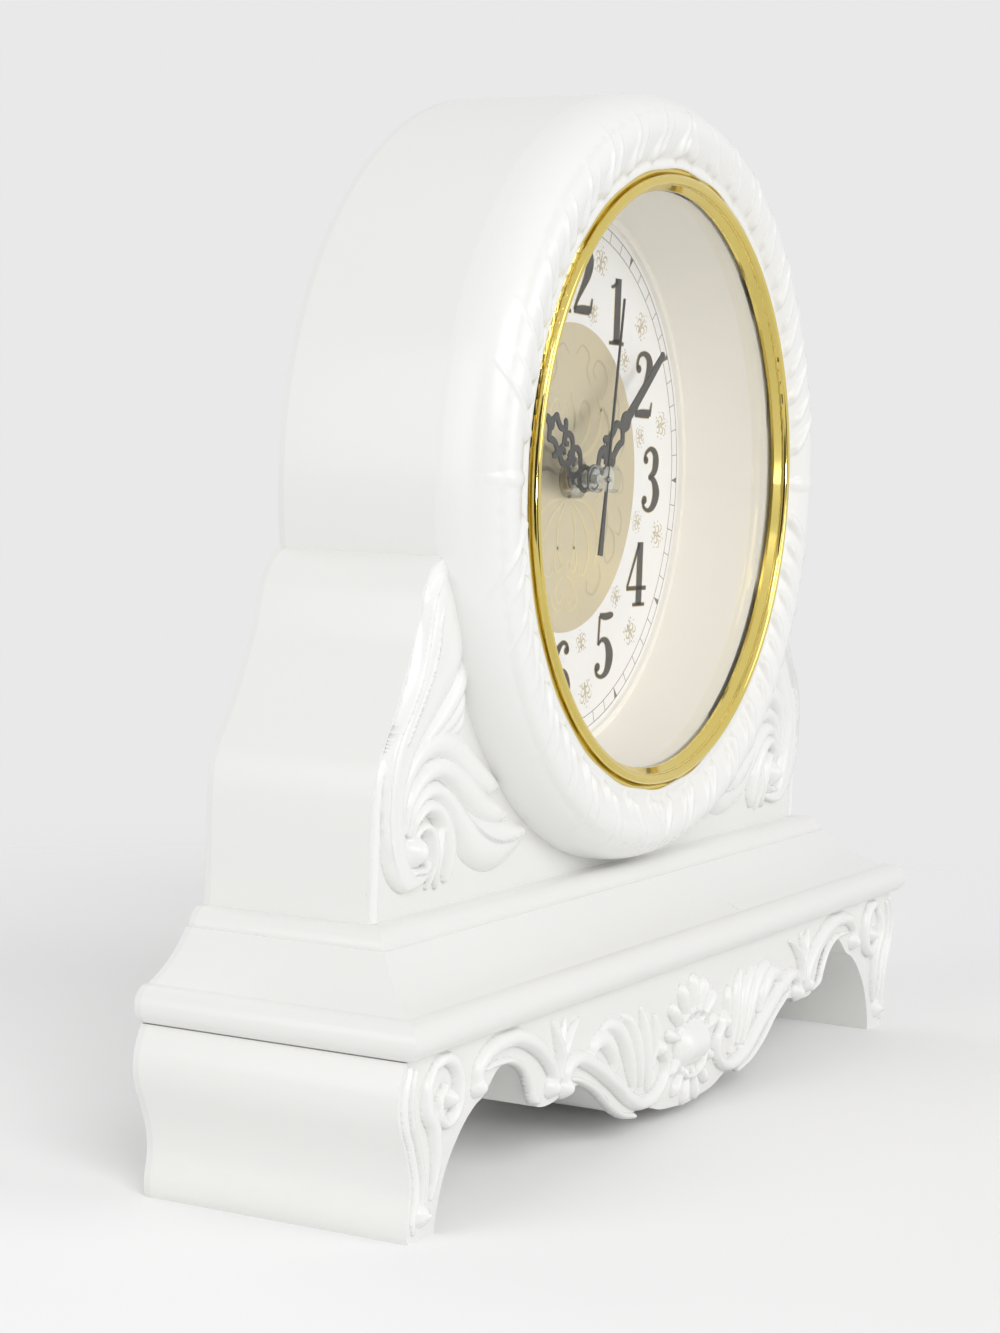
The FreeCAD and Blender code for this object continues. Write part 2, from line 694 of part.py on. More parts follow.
def bezel():
    # Gold ring: an outer lip, a cove, a round bead and an inner lip
    width = ring_outer - ring_inner
    lift = lip_front_y - bezel_step
    high = lip_front_y - bezel_height
    return turned((ring_outer, lip_front_y),
                  [((ring_outer, lift),), ((ring_outer - 0.1 * width, lift),),
                   ((ring_outer - 0.25 * width, lift + 0.15 * width), (ring_outer - 0.4 * width, lift)),
                   ((ring_outer - 0.6 * width, high), (ring_outer - 0.8 * width, lift)),
                   ((ring_inner, lift + 0.25 * width),), ((ring_inner, lip_front_y),)])


def glass():
    return rod(ring_outer - 1.6 * wall, lip_front_y, lip_front_y + glass_thickness)


def glass_gasket():
    outer = ring_outer - 1.6 * wall
    return ring(outer, ring_inner, lip_front_y + glass_thickness, lip_front_y + wall)


def recess_ring():
    # Cream wall between the glass and the dial, with a flange in front and a small step round the dial
    front = lip_front_y + wall
    outer = ring_inner + 0.7 * wall
    flange = ring_outer + 5.4 * screw_diameter
    step = 1.2 * wall
    body = turned((ring_inner, front),
                  [((flange, front),), ((flange, front + 0.8 * wall),), ((outer, front + 0.8 * wall),),
                   ((outer, dial_y + dial_thickness),), ((dial_radius, dial_y + dial_thickness),),
                   ((dial_radius, dial_y),), ((dial_radius - step, dial_y),),
                   ((dial_radius - step, dial_y - 0.8 * wall),), ((dial_radius, dial_y - 0.8 * wall),)])
    holes = [bar(x, z, screw_diameter / 2, front, front + wall) for x, z in ring_screw_places()]
    return body.cut(fused(holes))


def ring_screws():
    y = lip_front_y + 1.8 * wall
    return Part.makeCompound([pan_screw(vector(x, y, z), vector(0, -1, 0), 2.2 * screw_diameter)
                              for x, z in ring_screw_places()])


def dial_plate():
    return ring(dial_radius, bush_radius, dial_y, dial_y + dial_thickness)


def dial_centre_disc():
    return ring(disc_radius, bush_radius, dial_y - 0.16 * wall, dial_y)


def dial_washer():
    front = dial_y - 0.16 * wall
    return ring(1.6 * bush_radius, bush_radius, front - 0.2 * wall, front)


def dial_nut():
    back = dial_y - 0.36 * wall
    radius = 1.6 * bush_radius
    points = [(radius * math.cos(math.radians(60 * step)), drum_centre_z + radius * math.sin(math.radians(60 * step)))
              for step in range(6)]
    body = raised(polygon(on_front(back), points), 0.8 * wall)
    return body.cut(rod(bush_radius, back - wall, back))


def dial_boss():
    # Clear cup that covers the nut and washer
    back = dial_y - 0.16 * wall
    front = back - 2.0 * wall
    cup = rod(2.1 * bush_radius, front, back)
    hollow = rod(1.8 * bush_radius, front + 0.5 * wall, back)
    return cup.cut(hollow).cut(rod(1.02 * bush_radius, front, back))


def layer(name):
    low, high = layer_shares[name]
    return inner_front_y + low * inner_depth, inner_front_y + high * inner_depth


def gear(name, module, level, tooth_angle, x=0, z=0):
    # Toothed disc with tapered teeth; one tooth points along tooth_angle, measured from +X towards +Z
    count = tooth_counts[name]
    y0, y1 = layer(level)
    pitch = 2 * math.pi / count
    pitch_radius = module * count / 2
    root = pitch_radius - dedendum_share * module
    tip = pitch_radius + addendum_share * module
    points = []
    for index in range(count):
        middle = math.radians(tooth_angle) + index * pitch
        for radius, share in ((root, -root_half_share), (tip, -tip_half_share), (tip, tip_half_share),
                              (root, root_half_share)):
            angle = middle + share * pitch
            points.append((x + radius * math.cos(angle), drum_centre_z + z + radius * math.sin(angle)))
    return polygon(on_front(y0), points).extrude(vector(0, y1 - y0, 0))


def polar(distance, angle):
    return distance * math.cos(math.radians(angle)), distance * math.sin(math.radians(angle))


def meshing(name, direction):
    # Turns a gear so that a gap, not a tooth, points along direction
    return direction + 180 / tooth_counts[name]


def distance_between(first, second, module):
    return module * (tooth_counts[first] + tooth_counts[second]) / 2


def arbor_places():
    third = polar(distance_between("third_pinion", "centre", wheel_module), third_angle)
    motion = polar(distance_between("cannon", "motion", motion_module), motion_angle)
    intermediate = polar(distance_between("intermediate_pinion", "second", wheel_module), rotor_angle)
    step = polar(distance_between("rotor", "intermediate", wheel_module), rotor_angle)
    rotor = (intermediate[0] + step[0], intermediate[1] + step[1])
    return {"third": third, "motion": motion, "intermediate": intermediate, "rotor": rotor}


def second_wheel():
    y0 = layer("second")[0]
    wheel = gear("second", wheel_module, "second", rotor_angle)
    pinion = gear("second_pinion", third_module, "third", third_angle)
    collar = rod(arbor_radius, layer("plate")[0], y0)
    front = rod(seconds_radius, second_hand_y - 2 * hand_thickness, layer("plate")[1])
    pivot = rod(arbor_radius, y0, movement_rear_y)
    return fused([wheel, pinion, collar, front, pivot])


def hour_wheel():
    motion_x, motion_z = arbor_places()["motion"]
    wheel = gear("hour", hour_module, "hour", meshing("hour", motion_angle))
    tube = rod(hour_tube_radius, hour_hand_y - 2.5 * hand_thickness, layer("hour")[1])
    return fused([wheel, tube]).cut(rod(hour_bore, minute_hand_y, layer("hour")[1]))


def centre_wheel():
    wheel = gear("centre", wheel_module, "centre", meshing("centre", third_angle))
    cannon = gear("cannon", motion_module, "cannon", motion_angle)
    tube = rod(minute_tube_radius, minute_hand_y - 3 * hand_thickness, layer("centre")[0])
    return fused([wheel, cannon, tube]).cut(rod(minute_bore, second_hand_y, layer("centre")[1]))


def motion_wheel():
    x, z = arbor_places()["motion"]
    wheel = gear("motion", motion_module, "cannon", meshing("motion", motion_angle + 180), x, z)
    pinion = gear("motion_pinion", hour_module, "hour", motion_angle + 180, x, z)
    pivot = rod(arbor_radius, inner_front_y - 0.5 * movement_wall, layer("hour")[0], x, z)
    stem = rod(2 * arbor_radius, layer("hour")[1], movement_rear_y + knob_length / 2, x, z)
    return fused([wheel, pinion, pivot, stem])


def setting_knob():
    x, z = arbor_places()["motion"]
    start = movement_rear_y + 0.5 * movement_wall
    end = start + knob_length
    body = rod(knob_radius, start, end, x, z)
    grooves = []
    for index in range(12):
        groove_x, groove_z = polar(knob_radius, 30 * index)
        grooves.append(rod(0.12 * knob_radius, start, end, x + groove_x, z + groove_z))
    blind = rod(2 * arbor_radius, start, movement_rear_y + knob_length / 2, x, z)
    return body.cut(fused(grooves)).cut(blind)


def third_wheel():
    x, z = arbor_places()["third"]
    wheel = gear("third", third_module, "third", meshing("third", third_angle + 180), x, z)
    pinion = gear("third_pinion", wheel_module, "centre", third_angle + 180, x, z)
    arbor = rod(arbor_radius, inner_front_y - 0.5 * movement_wall, movement_rear_y, x, z)
    return fused([wheel, pinion, arbor])


def intermediate_wheel():
    x, z = arbor_places()["intermediate"]
    wheel = gear("intermediate", wheel_module, "rotor", meshing("intermediate", rotor_angle), x, z)
    pinion = gear("intermediate_pinion", wheel_module, "second", meshing("intermediate_pinion", rotor_angle + 180),
                  x, z)
    arbor = rod(arbor_radius, layer("plate")[0], movement_rear_y, x, z)
    return fused([wheel, pinion, arbor])


def rotor():
    x, z = arbor_places()["rotor"]
    pinion = gear("rotor", wheel_module, "rotor", rotor_angle + 180, x, z)
    magnet = rod(magnet_radius, *layer("magnet"), x, z)
    arbor = rod(arbor_radius, layer("plate")[0], movement_rear_y, x, z)
    return fused([pinion, magnet, arbor])


def bearing_holes(names, y0, y1):
    places = arbor_places()
    return [rod(arbor_radius + running_clearance, y0, y1, *places[name]) for name in names]


def movement_front_housing():
    body = block(-half_movement, half_movement, movement_front_y, movement_rear_y - movement_wall,
                 movement_bottom_z, movement_top_z)
    train = block(-half_inside, half_inside, inner_front_y, movement_rear_y, bay_top_z + movement_wall,
                  movement_top_z - movement_wall)
    bay = block(-half_inside, half_inside, inner_front_y, movement_rear_y, movement_bottom_z + movement_wall,
                bay_top_z)
    bush = rod(bush_radius, dial_y - 1.8 * wall, movement_front_y)
    body = body.cut(train).cut(bay).fuse(bush)
    body = body.cut(rod(bush_bore, dial_y - 2 * wall, inner_front_y))
    pivots = bearing_holes(["third", "motion"], inner_front_y - 0.6 * movement_wall, inner_front_y)
    return body.cut(fused(pivots)).removeSplitter()


def middle_plate():
    y0, y1 = layer("plate")
    plate = block(-half_inside, half_inside, y0, y1, bay_top_z + movement_wall, movement_top_z - movement_wall)
    places = arbor_places()
    holes = bearing_holes(["intermediate", "rotor"], y0, y1)
    holes.append(rod(1.5 * seconds_radius, y0, y1))
    holes.append(rod(5 * arbor_radius, y0, y1, *places["motion"]))
    holes.append(rod(5 * arbor_radius, y0, y1, *places["third"]))
    frame = coil_frame()
    post_x = (frame["coil_x"] + frame["rotor_x"]) / 2
    reach = stator_reach - stator_leg / 2
    posts = [rod(0.4 * stator_leg, y1, layer("stator")[0], post_x, frame["rotor_z"] + side * reach)
             for side in (1, -1)]
    return fused([plate.cut(fused(holes))] + posts)


def movement_rear_cover():
    y0 = movement_rear_y - movement_wall
    plate = block(-half_movement, half_movement, y0, movement_rear_y, bay_top_z, movement_top_z)
    places = arbor_places()
    holes = bearing_holes(["third", "intermediate", "rotor"], y0, movement_rear_y)
    holes.append(rod(arbor_radius + running_clearance, y0, movement_rear_y))
    holes.append(rod(2 * arbor_radius + running_clearance, y0, movement_rear_y, *places["motion"]))
    return plate.cut(fused(holes))


def coil_frame():
    # Places shared by the stator and its coil: the rotor's, and the coil's beside the wall of the housing
    rotor_x, rotor_z = arbor_places()["rotor"]
    cheek = 1.45 * stator_leg
    y0, y1 = layer("stator")
    return {"rotor_x": rotor_x, "rotor_z": rotor_z, "cheek": cheek, "coil_x": cheek + stator_leg - half_inside,
            "coil_y": (y0 + y1) / 2, "centre_z": drum_centre_z + rotor_z}


def stator():
    # Flat frame with a leg through the coil and a wide leg round the rotor
    frame = coil_frame()
    y0, y1 = layer("stator")
    reach = magnet_radius + 0.8 * stator_leg
    outer_x = frame["coil_x"] - stator_leg / 2
    low, high = frame["centre_z"] - stator_reach, frame["centre_z"] + stator_reach
    body = block(outer_x, frame["rotor_x"] + reach, y0, y1, low, high)
    window = block(outer_x + stator_leg, frame["rotor_x"] - reach, y0, y1, low + stator_leg, high - stator_leg)
    hole = rod(magnet_radius + stator_leg / 4, y0, y1, frame["rotor_x"], frame["rotor_z"])
    return body.cut(window).cut(hole)


def coil_part(radius, low_share, high_share):
    # Round bar about the coil's axis, between two shares of the length inside the stator's frame
    frame = coil_frame()
    half = stator_reach - stator_leg
    return upright(frame["coil_x"], frame["coil_y"], radius, frame["centre_z"] + low_share * half,
                   frame["centre_z"] + high_share * half)


def coil_bobbin():
    frame = coil_frame()
    y0, y1 = layer("stator")
    flange_share = 0.93
    pieces = [coil_part(0.85 * stator_leg, -1, 1), coil_part(frame["cheek"], -1, -flange_share),
              coil_part(frame["cheek"], flange_share, 1)]
    half = stator_leg / 2
    core = block(frame["coil_x"] - half, frame["coil_x"] + half, y0, y1, frame["centre_z"] - stator_reach,
                 frame["centre_z"] + stator_reach)
    return fused(pieces).cut(core)


def coil_winding():
    flange_share = 0.93
    solid = coil_part(1.35 * stator_leg, -flange_share, flange_share)
    return solid.cut(coil_part(0.85 * stator_leg, -1, 1))


def board_levels():
    # Front and back of the circuit board, which is carried by the side wall of the housing
    y1 = movement_rear_y - 2.5 * movement_wall
    return y1 - 0.7 * movement_wall, y1


def circuit_board():
    y0, y1 = board_levels()
    return block(0.62 * half_inside, half_inside, y0, y1, drum_centre_z - 0.3 * train_top,
                 drum_centre_z + 0.8 * train_top)


def ic_chip():
    y0 = board_levels()[0]
    size = 0.12 * half_inside
    middle = 0.8 * half_inside
    return block(middle - size, middle + size, y0 - 0.5 * movement_wall, y0, drum_centre_z, drum_centre_z + 2 * size)


def quartz_crystal():
    y0 = board_levels()[0]
    radius = 0.8 * movement_wall
    return upright(0.8 * half_inside, y0 - radius, radius, drum_centre_z + 0.4 * train_top,
                   drum_centre_z + 0.65 * train_top)


def battery():
    half = battery_length / 2
    nub = 0.02 * battery_length
    body = Part.makeCylinder(battery_diameter / 2, battery_length - nub, vector(-half, battery_y, battery_z),
                             vector(1, 0, 0))
    cap = Part.makeCylinder(0.19 * battery_diameter, nub, vector(half - nub, battery_y, battery_z),
                            vector(1, 0, 0))
    return body.fuse(cap).removeSplitter()


def battery_contact(side):
    # Leaf that reaches from the end wall of the bay to the end of the cell, bowed in the middle
    half = battery_length / 2
    end = half_inside
    y = battery_y
    width = 0.25 * battery_diameter
    z0, z1 = battery_z - width, battery_z + width
    place = lambda x, level: vector(side * x, level, z0)
    face = outline(place, (end, y - 2 * width),
                   [((end, y + 1.5 * width),), ((end - contact_thickness, y + 1.5 * width),),
                    ((half, y), (end - contact_thickness, y - 1.5 * width)),
                    ((end - contact_thickness, y - 2 * width),)])
    return face.extrude(vector(0, 0, z1 - z0))


def battery_contact_positive():
    return battery_contact(1)


def battery_contact_negative():
    return battery_contact(-1)


def turned_hand(face_points, y, turn, bore):
    # Flat hand drawn pointing up from the dial's axis, then turned clockwise as seen from the front
    face = polygon(on_front(y), [(x, drum_centre_z + z) for x, z in face_points])
    hand = face.extrude(vector(0, hand_thickness, 0))
    hand.rotate(vector(0, 0, drum_centre_z), vector(0, 1, 0), turn)
    hub = rod(2.2 * bore, y, y + hand_thickness)
    return fused([hand, hub])


def diamond_hand(y, turn, bore, length, width, tail):
    # Ornate hand: a stem with a pierced swelling and a fine tip
    half = width / 2
    points = [(-0.25 * half, -tail), (-0.25 * half, 0.22 * length), (-half, 0.42 * length), (-0.3 * half, 0.62 * length),
              (-0.55 * half, 0.72 * length), (0, length), (0.55 * half, 0.72 * length), (0.3 * half, 0.62 * length),
              (half, 0.42 * length), (0.25 * half, 0.22 * length), (0.25 * half, -tail)]
    hand = turned_hand(points, y, turn, bore)
    window = polygon(on_front(y), [(0, drum_centre_z + 0.3 * length), (-0.55 * half, drum_centre_z + 0.42 * length),
                                   (0, drum_centre_z + 0.54 * length), (0.55 * half, drum_centre_z + 0.42 * length)])
    window = window.extrude(vector(0, hand_thickness, 0))
    window.rotate(vector(0, 0, drum_centre_z), vector(0, 1, 0), turn)
    return hand.cut(window).cut(rod(bore, y, y + hand_thickness))


def hour_hand():
    return diamond_hand(hour_hand_y, hour_hand_turn, hour_tube_radius, hour_hand_length, 0.24 * hour_hand_length,
                        0.12 * hour_hand_length)


def minute_hand():
    return diamond_hand(minute_hand_y, minute_hand_turn, minute_tube_radius, minute_hand_length,
                        0.12 * minute_hand_length, 0.07 * minute_hand_length)


def second_hand():
    half = 0.008 * second_hand_length
    tail = 0.42 * second_hand_length
    points = [(-3 * half, -tail), (-half, 0), (-0.6 * half, second_hand_length), (0.6 * half, second_hand_length),
              (half, 0), (3 * half, -tail)]
    hand = turned_hand(points, second_hand_y, second_hand_turn, seconds_radius)
    return hand.cut(rod(seconds_radius, second_hand_y, second_hand_y + hand_thickness))


def hour_spacer():
    return ring(2.1 * hour_tube_radius, hour_tube_radius, hour_hand_y - 1.7 * hand_thickness, hour_hand_y)


def minute_collar():
    return ring(2.8 * minute_tube_radius, minute_tube_radius, minute_hand_y - 2.6 * hand_thickness, minute_hand_y)


def second_cap():
    # Faceted cap pressed on the end of the seconds arbor
    radius = 8 * seconds_radius
    end = second_hand_y
    front = cap_front_y
    solids = []
    for turn in range(0, 60, 30):
        points = [(radius * math.cos(math.radians(60 * step + turn)),
                   drum_centre_z + radius * math.sin(math.radians(60 * step + turn))) for step in range(6)]
        solids.append(polygon(on_front(front), points).extrude(vector(0, end - front, 0)))
    body = solids[0].common(solids[1])
    return body.cut(rod(seconds_radius, end - 2 * hand_thickness, end))


PIECES = (case_shell, rear_cover, rear_cover_screws, access_door, door_hinge_pins, plinth, plinth_screws,
          base_frame, base_screws, base_rear_cover, base_cover_screws, rim_wreath, shoulder_ornament_left,
          shoulder_ornament_right, apron_ornament, foot_ornament_left, foot_ornament_right, bezel, glass,
          glass_gasket, recess_ring, ring_screws, dial_plate, dial_centre_disc, dial_washer, dial_nut, dial_boss,
          movement_front_housing, middle_plate, movement_rear_cover, stator, coil_bobbin, coil_winding,
          circuit_board, ic_chip, quartz_crystal, battery, battery_contact_positive, battery_contact_negative,
          rotor, intermediate_wheel, third_wheel, second_wheel, centre_wheel, motion_wheel, hour_wheel,
          setting_knob, hour_hand, hour_spacer, minute_hand, minute_collar, second_hand, second_cap)


def main():
    os.makedirs("parts", exist_ok=True)
    for build in PIECES:
        shape = build()
        shape.exportStep("parts/" + build.__name__ + ".step")


main()
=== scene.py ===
"""Looks of a white tambour mantel clock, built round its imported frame. Lengths are in metres."""

import json
import math

import bmesh
import bpy
import numpy as np
from mathutils import Matrix, Vector


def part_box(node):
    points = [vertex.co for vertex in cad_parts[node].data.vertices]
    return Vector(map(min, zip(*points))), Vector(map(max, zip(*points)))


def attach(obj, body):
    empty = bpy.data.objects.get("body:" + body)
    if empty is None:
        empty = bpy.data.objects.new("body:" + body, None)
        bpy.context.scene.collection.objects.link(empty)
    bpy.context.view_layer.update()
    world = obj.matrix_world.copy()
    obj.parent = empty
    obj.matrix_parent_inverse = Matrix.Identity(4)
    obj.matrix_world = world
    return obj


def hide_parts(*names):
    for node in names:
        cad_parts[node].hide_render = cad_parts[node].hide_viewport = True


bl_info = {
    "name": "Tambour mantel clock",
    "version": (1, 0, 0),
    "blender": (4, 5, 0),
    "location": "View3D > Sidebar > Clock",
    "description": "Finishes, carving, dial and stage of a white mantel clock",
    "category": "Object",
}

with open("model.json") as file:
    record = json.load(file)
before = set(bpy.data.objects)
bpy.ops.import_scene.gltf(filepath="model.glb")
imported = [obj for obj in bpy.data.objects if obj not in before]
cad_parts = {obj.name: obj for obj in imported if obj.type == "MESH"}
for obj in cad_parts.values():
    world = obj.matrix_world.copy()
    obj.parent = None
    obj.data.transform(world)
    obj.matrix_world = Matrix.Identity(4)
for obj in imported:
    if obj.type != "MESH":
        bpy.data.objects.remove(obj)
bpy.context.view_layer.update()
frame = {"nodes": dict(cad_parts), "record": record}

MM = 0.001


# Values and nodes of the finishes


class Value:
    """One value in the node tree of a finish. Sums written on it add Math nodes."""

    def __init__(self, tree, socket=None):
        self.tree = tree
        self.socket = socket

    def node(self, kind, settings=None, values=None, output=0):
        """Adds a node, sets it up, fills its sockets and gives back one of its outputs."""
        made = self.tree.nodes.new(kind)
        for name, setting in (settings or {}).items():
            if name == "stops":
                set_stops(made.color_ramp.elements, setting)
            else:
                setattr(made, name, setting)
        for name, value in (values or {}).items():
            if isinstance(value, Value):
                self.tree.links.new(value.socket, made.inputs[name])
            else:
                made.inputs[name].default_value = value
        return Value(self.tree, made.outputs[output])

    def maths(self, operation, first, second=0.0):
        """Adds a Math node that works on two values."""
        return self.node("ShaderNodeMath", {"operation": operation}, {0: first, 1: second})

    def __add__(self, other):
        return self.maths("ADD", self, other)

    def __radd__(self, other):
        return self.maths("ADD", other, self)

    def __sub__(self, other):
        return self.maths("SUBTRACT", self, other)

    def __mul__(self, other):
        return self.maths("MULTIPLY", self, other)

    def __rmul__(self, other):
        return self.maths("MULTIPLY", other, self)


def set_stops(elements, stops):
    """Gives a colour ramp its stops, each a place and a colour."""
    while len(elements) < len(stops):
        elements.new(1.0)
    for element, (place, colour) in zip(elements, stops):
        element.position = place
        element.color = colour


def new_finish(name):
    """A new material with an empty node tree, and the first value of that tree."""
    material = bpy.data.materials.new(name)
    material.use_nodes = True
    material.node_tree.nodes.clear()
    return material, Value(material.node_tree)


def close_finish(material, shader):
    """Joins a shader to the material's output."""
    tree = material.node_tree
    output = tree.nodes.new("ShaderNodeOutputMaterial")
    tree.links.new(shader.socket, output.inputs["Surface"])
    return material


def solid(material, start, values):
    """Closes a finish with the shader of a solid."""
    return close_finish(material, start.node("ShaderNodeBsdfPrincipled", {}, values))


def bumps(start, strength, distance, height):
    """Fine bumps of a surface."""
    return start.node("ShaderNodeBump", {}, {"Strength": strength, "Distance": distance, "Height": height})


def object_place(start):
    """Place in the object's own coordinates."""
    return start.node("ShaderNodeTexCoord", {}, {}, "Object")


def noise(start, scale, detail=3.0, stretch=(1, 1, 1)):
    """Soft noise from 0 to 1, with a scale in waves to the metre, stretched along each axis."""
    vector = start.node("ShaderNodeMapping", {}, {"Vector": object_place(start), "Scale": stretch})
    return start.node("ShaderNodeTexNoise", {}, {"Vector": vector, "Scale": scale, "Detail": detail}, 0)


def mixed(start, share, first, second):
    """Mix of two colours."""
    return start.node("ShaderNodeMix", {"data_type": "RGBA"}, {0: share, 6: first, 7: second}, 2)


def shade_of(colour, factor):
    """A colour made darker or lighter by a factor."""
    return tuple(min(channel * factor, 1.0) for channel in colour[:3]) + (1.0,)


def moulded(name, colour, roughness, coat=0.0, metallic=0.0, grain=900.0, spread=0.02, bump=0.02):
    """Moulded, plated or printed finish: its colour and its gloss vary a little, with a fine surface."""
    material, start = new_finish(name)
    broad = noise(start, grain / 20)
    fine = noise(start, grain)
    tone = mixed(start, broad, shade_of(colour, 1 - spread), shade_of(colour, 1 + spread))
    gloss = roughness + (fine - 0.5) * (roughness * 0.3)
    surface = bumps(start, bump, 0.2 * MM, fine)
    return solid(material, start, {
        "Base Color": tone, "Roughness": gloss, "Metallic": metallic, "Coat Weight": coat,
        "Coat Roughness": 0.06, "Normal": surface})


def case_finish(name, colour, roughness):
    """Gloss white of the case, with the faint streaks of the moulding along its depth."""
    material, start = new_finish(name)
    streaks = noise(start, 60.0, 4.0, (1, 0.08, 1))
    broad = noise(start, 9.0, 2.0)
    fine = noise(start, 1400.0, 2.0)
    warm = shade_of((colour[0], colour[1] * 0.996, colour[2] * 0.985), 1.0)
    tone = mixed(start, broad * 0.5 + streaks * 0.5, shade_of(colour, 0.985), warm)
    gloss = roughness + (streaks - 0.5) * 0.10 + (fine - 0.5) * 0.03
    surface = bumps(start, 0.05, 0.4 * MM, streaks * 0.8 + fine * 0.2)
    return solid(material, start, {
        "Base Color": tone, "Roughness": gloss, "Coat Weight": 0.25, "Coat Roughness": 0.12,
        "Normal": surface})


def plating_finish(name, colour, roughness):
    """Bright plating with the fine haze of handling."""
    material, start = new_finish(name)
    haze = noise(start, 45.0, 4.0)
    fine = noise(start, 2500.0, 2.0)
    tone = mixed(start, haze, shade_of(colour, 0.94), shade_of(colour, 1.04))
    gloss = roughness + haze * 0.05 + fine * 0.02
    surface = bumps(start, 0.03, 0.2 * MM, haze)
    return solid(material, start, {
        "Base Color": tone, "Roughness": gloss, "Metallic": 1.0, "Normal": surface})


def pane_finish(name, tint, roughness, mirror):
    """Clear pane or clear acrylic: see-through, with a mirror that grows at a glancing angle."""
    material, start = new_finish(name)
    glance = start.node("ShaderNodeLayerWeight", {}, {"Blend": 0.25}, "Fresnel")
    smear = noise(start, 30.0, 3.0)
    through = start.node("ShaderNodeBsdfTransparent", {}, {"Color": tint})
    shine = start.node("ShaderNodeBsdfGlossy", {}, {"Color": (1, 1, 1, 1), "Roughness": roughness})
    share = mirror * glance + smear * 0.01
    shader = start.node("ShaderNodeMixShader", {}, {0: share, 1: through, 2: shine})
    return close_finish(material, shader)


def brushed_disc_finish(name, colour):
    """Champagne metal disc, turned in fine rings."""
    material, start = new_finish(name)
    centred = start.node("ShaderNodeMapping", {}, {
        "Vector": object_place(start), "Location": (0, 0, -dial_centre_z())})
    parts = start.node("ShaderNodeSeparateXYZ", {}, {0: centred}, 0)
    up = Value(start.tree, parts.socket.node.outputs[2])
    radius = start.maths("SQRT", parts * parts + up * up)
    rings = start.node("ShaderNodeTexNoise", {"noise_dimensions": "1D"}, {"W": radius, "Scale": 2600.0}, 0)
    broad = noise(start, 30.0)
    tone = mixed(start, rings * 0.5 + broad * 0.5, shade_of(colour, 0.93), shade_of(colour, 1.06))
    gloss = 0.30 + rings * 0.12
    surface = bumps(start, 0.06, 0.1 * MM, rings)
    return solid(material, start, {
        "Base Color": tone, "Roughness": gloss, "Metallic": 0.75, "Normal": surface})


def dial_centre_z():
    """Height of the middle of the dial."""
    low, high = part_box("dial_plate")
    return (low.z + high.z) / 2


# Sizes and colours that a user may change


def colour_of(name, words, value):
    """A colour setting."""
    return bpy.props.FloatVectorProperty(name=name, description=words, subtype="COLOR", size=4,
                                         min=0, max=1, default=value)


def length_of(name, words, value):
    """A length setting."""
    return bpy.props.FloatProperty(name=name, description=words, default=value, unit="LENGTH",
                                   precision=5)


def share_of(name, words, value):
    """A setting from 0 to 1."""
    return bpy.props.FloatProperty(name=name, description=words, default=value, min=0, max=1,
                                   subtype="FACTOR")


class ClockFinishes(bpy.types.PropertyGroup):
    """Colours and gloss of the clock's pieces."""
    case_white: colour_of("Case", "Gloss white of the moulded case", (0.90, 0.90, 0.885, 1))
    cover_white: colour_of("Covers", "White of the rear covers", (0.86, 0.86, 0.845, 1))
    gold: colour_of("Gold", "Plating of the ring round the glass", (0.80, 0.64, 0.19, 1))
    cream: colour_of("Recess", "Cream wall between the glass and the dial", (0.92, 0.89, 0.825, 1))
    dial_white: colour_of("Dial", "White of the dial plate", (0.91, 0.90, 0.90, 1))
    champagne: colour_of("Disc", "Metal disc in the middle of the dial", (0.76, 0.68, 0.49, 1))
    ink: colour_of("Ink", "Black of the numbers and the hands", (0.012, 0.011, 0.012, 1))
    case_gloss: share_of("Case roughness", "Roughness of the gloss white", 0.30)
    gold_gloss: share_of("Gold roughness", "Roughness of the plating", 0.06)


class ClockCarving(bpy.types.PropertyGroup):
    """Sizes of the carved relief."""
    grid_step: length_of("Grid", "Distance between the points of a carved surface", 0.6 * MM)
    sink: length_of("Sink", "Depth to which a carved skin goes into the case", 0.9 * MM)
    leaf_relief: length_of("Rim leaves", "Height of the leaves on the rim", 1.9 * MM)


class ClockDial(bpy.types.PropertyGroup):
    """Sizes of what is printed on the dial."""
    number_height: length_of("Numbers", "Height of the numbers", 27.4 * MM)
    number_radius: length_of("Number ring", "Radius of the ring of numbers", 79.5 * MM)
    track_radius: length_of("Track", "Inner radius of the minute track", 100.5 * MM)
    track_width: length_of("Track width", "Width of the minute track", 5 * MM)
    print_depth: length_of("Print", "Thickness of the print", 0.06 * MM)


class ClockStage(bpy.types.PropertyGroup):
    """Camera, lamps and floor."""
    lens: length_of("Lens", "Focal length of the camera, for a 36 mm sensor", 74.92 * MM)
    key_power: bpy.props.FloatProperty(name="Key lamp", description="Power of the main lamp",
                                       default=18.3, unit="POWER")
    dial_power: bpy.props.FloatProperty(name="Dial lamp",
                                        description="Power of the narrow lamp on the dial",
                                        default=130.0, unit="POWER")
    floor_tone: colour_of("Floor", "Colour of the floor", (0.92, 0.92, 0.92, 1))
    back_tone: colour_of("Background", "Colour of the background", (0.815, 0.815, 0.815, 1))


# Finishes of the pieces in the record


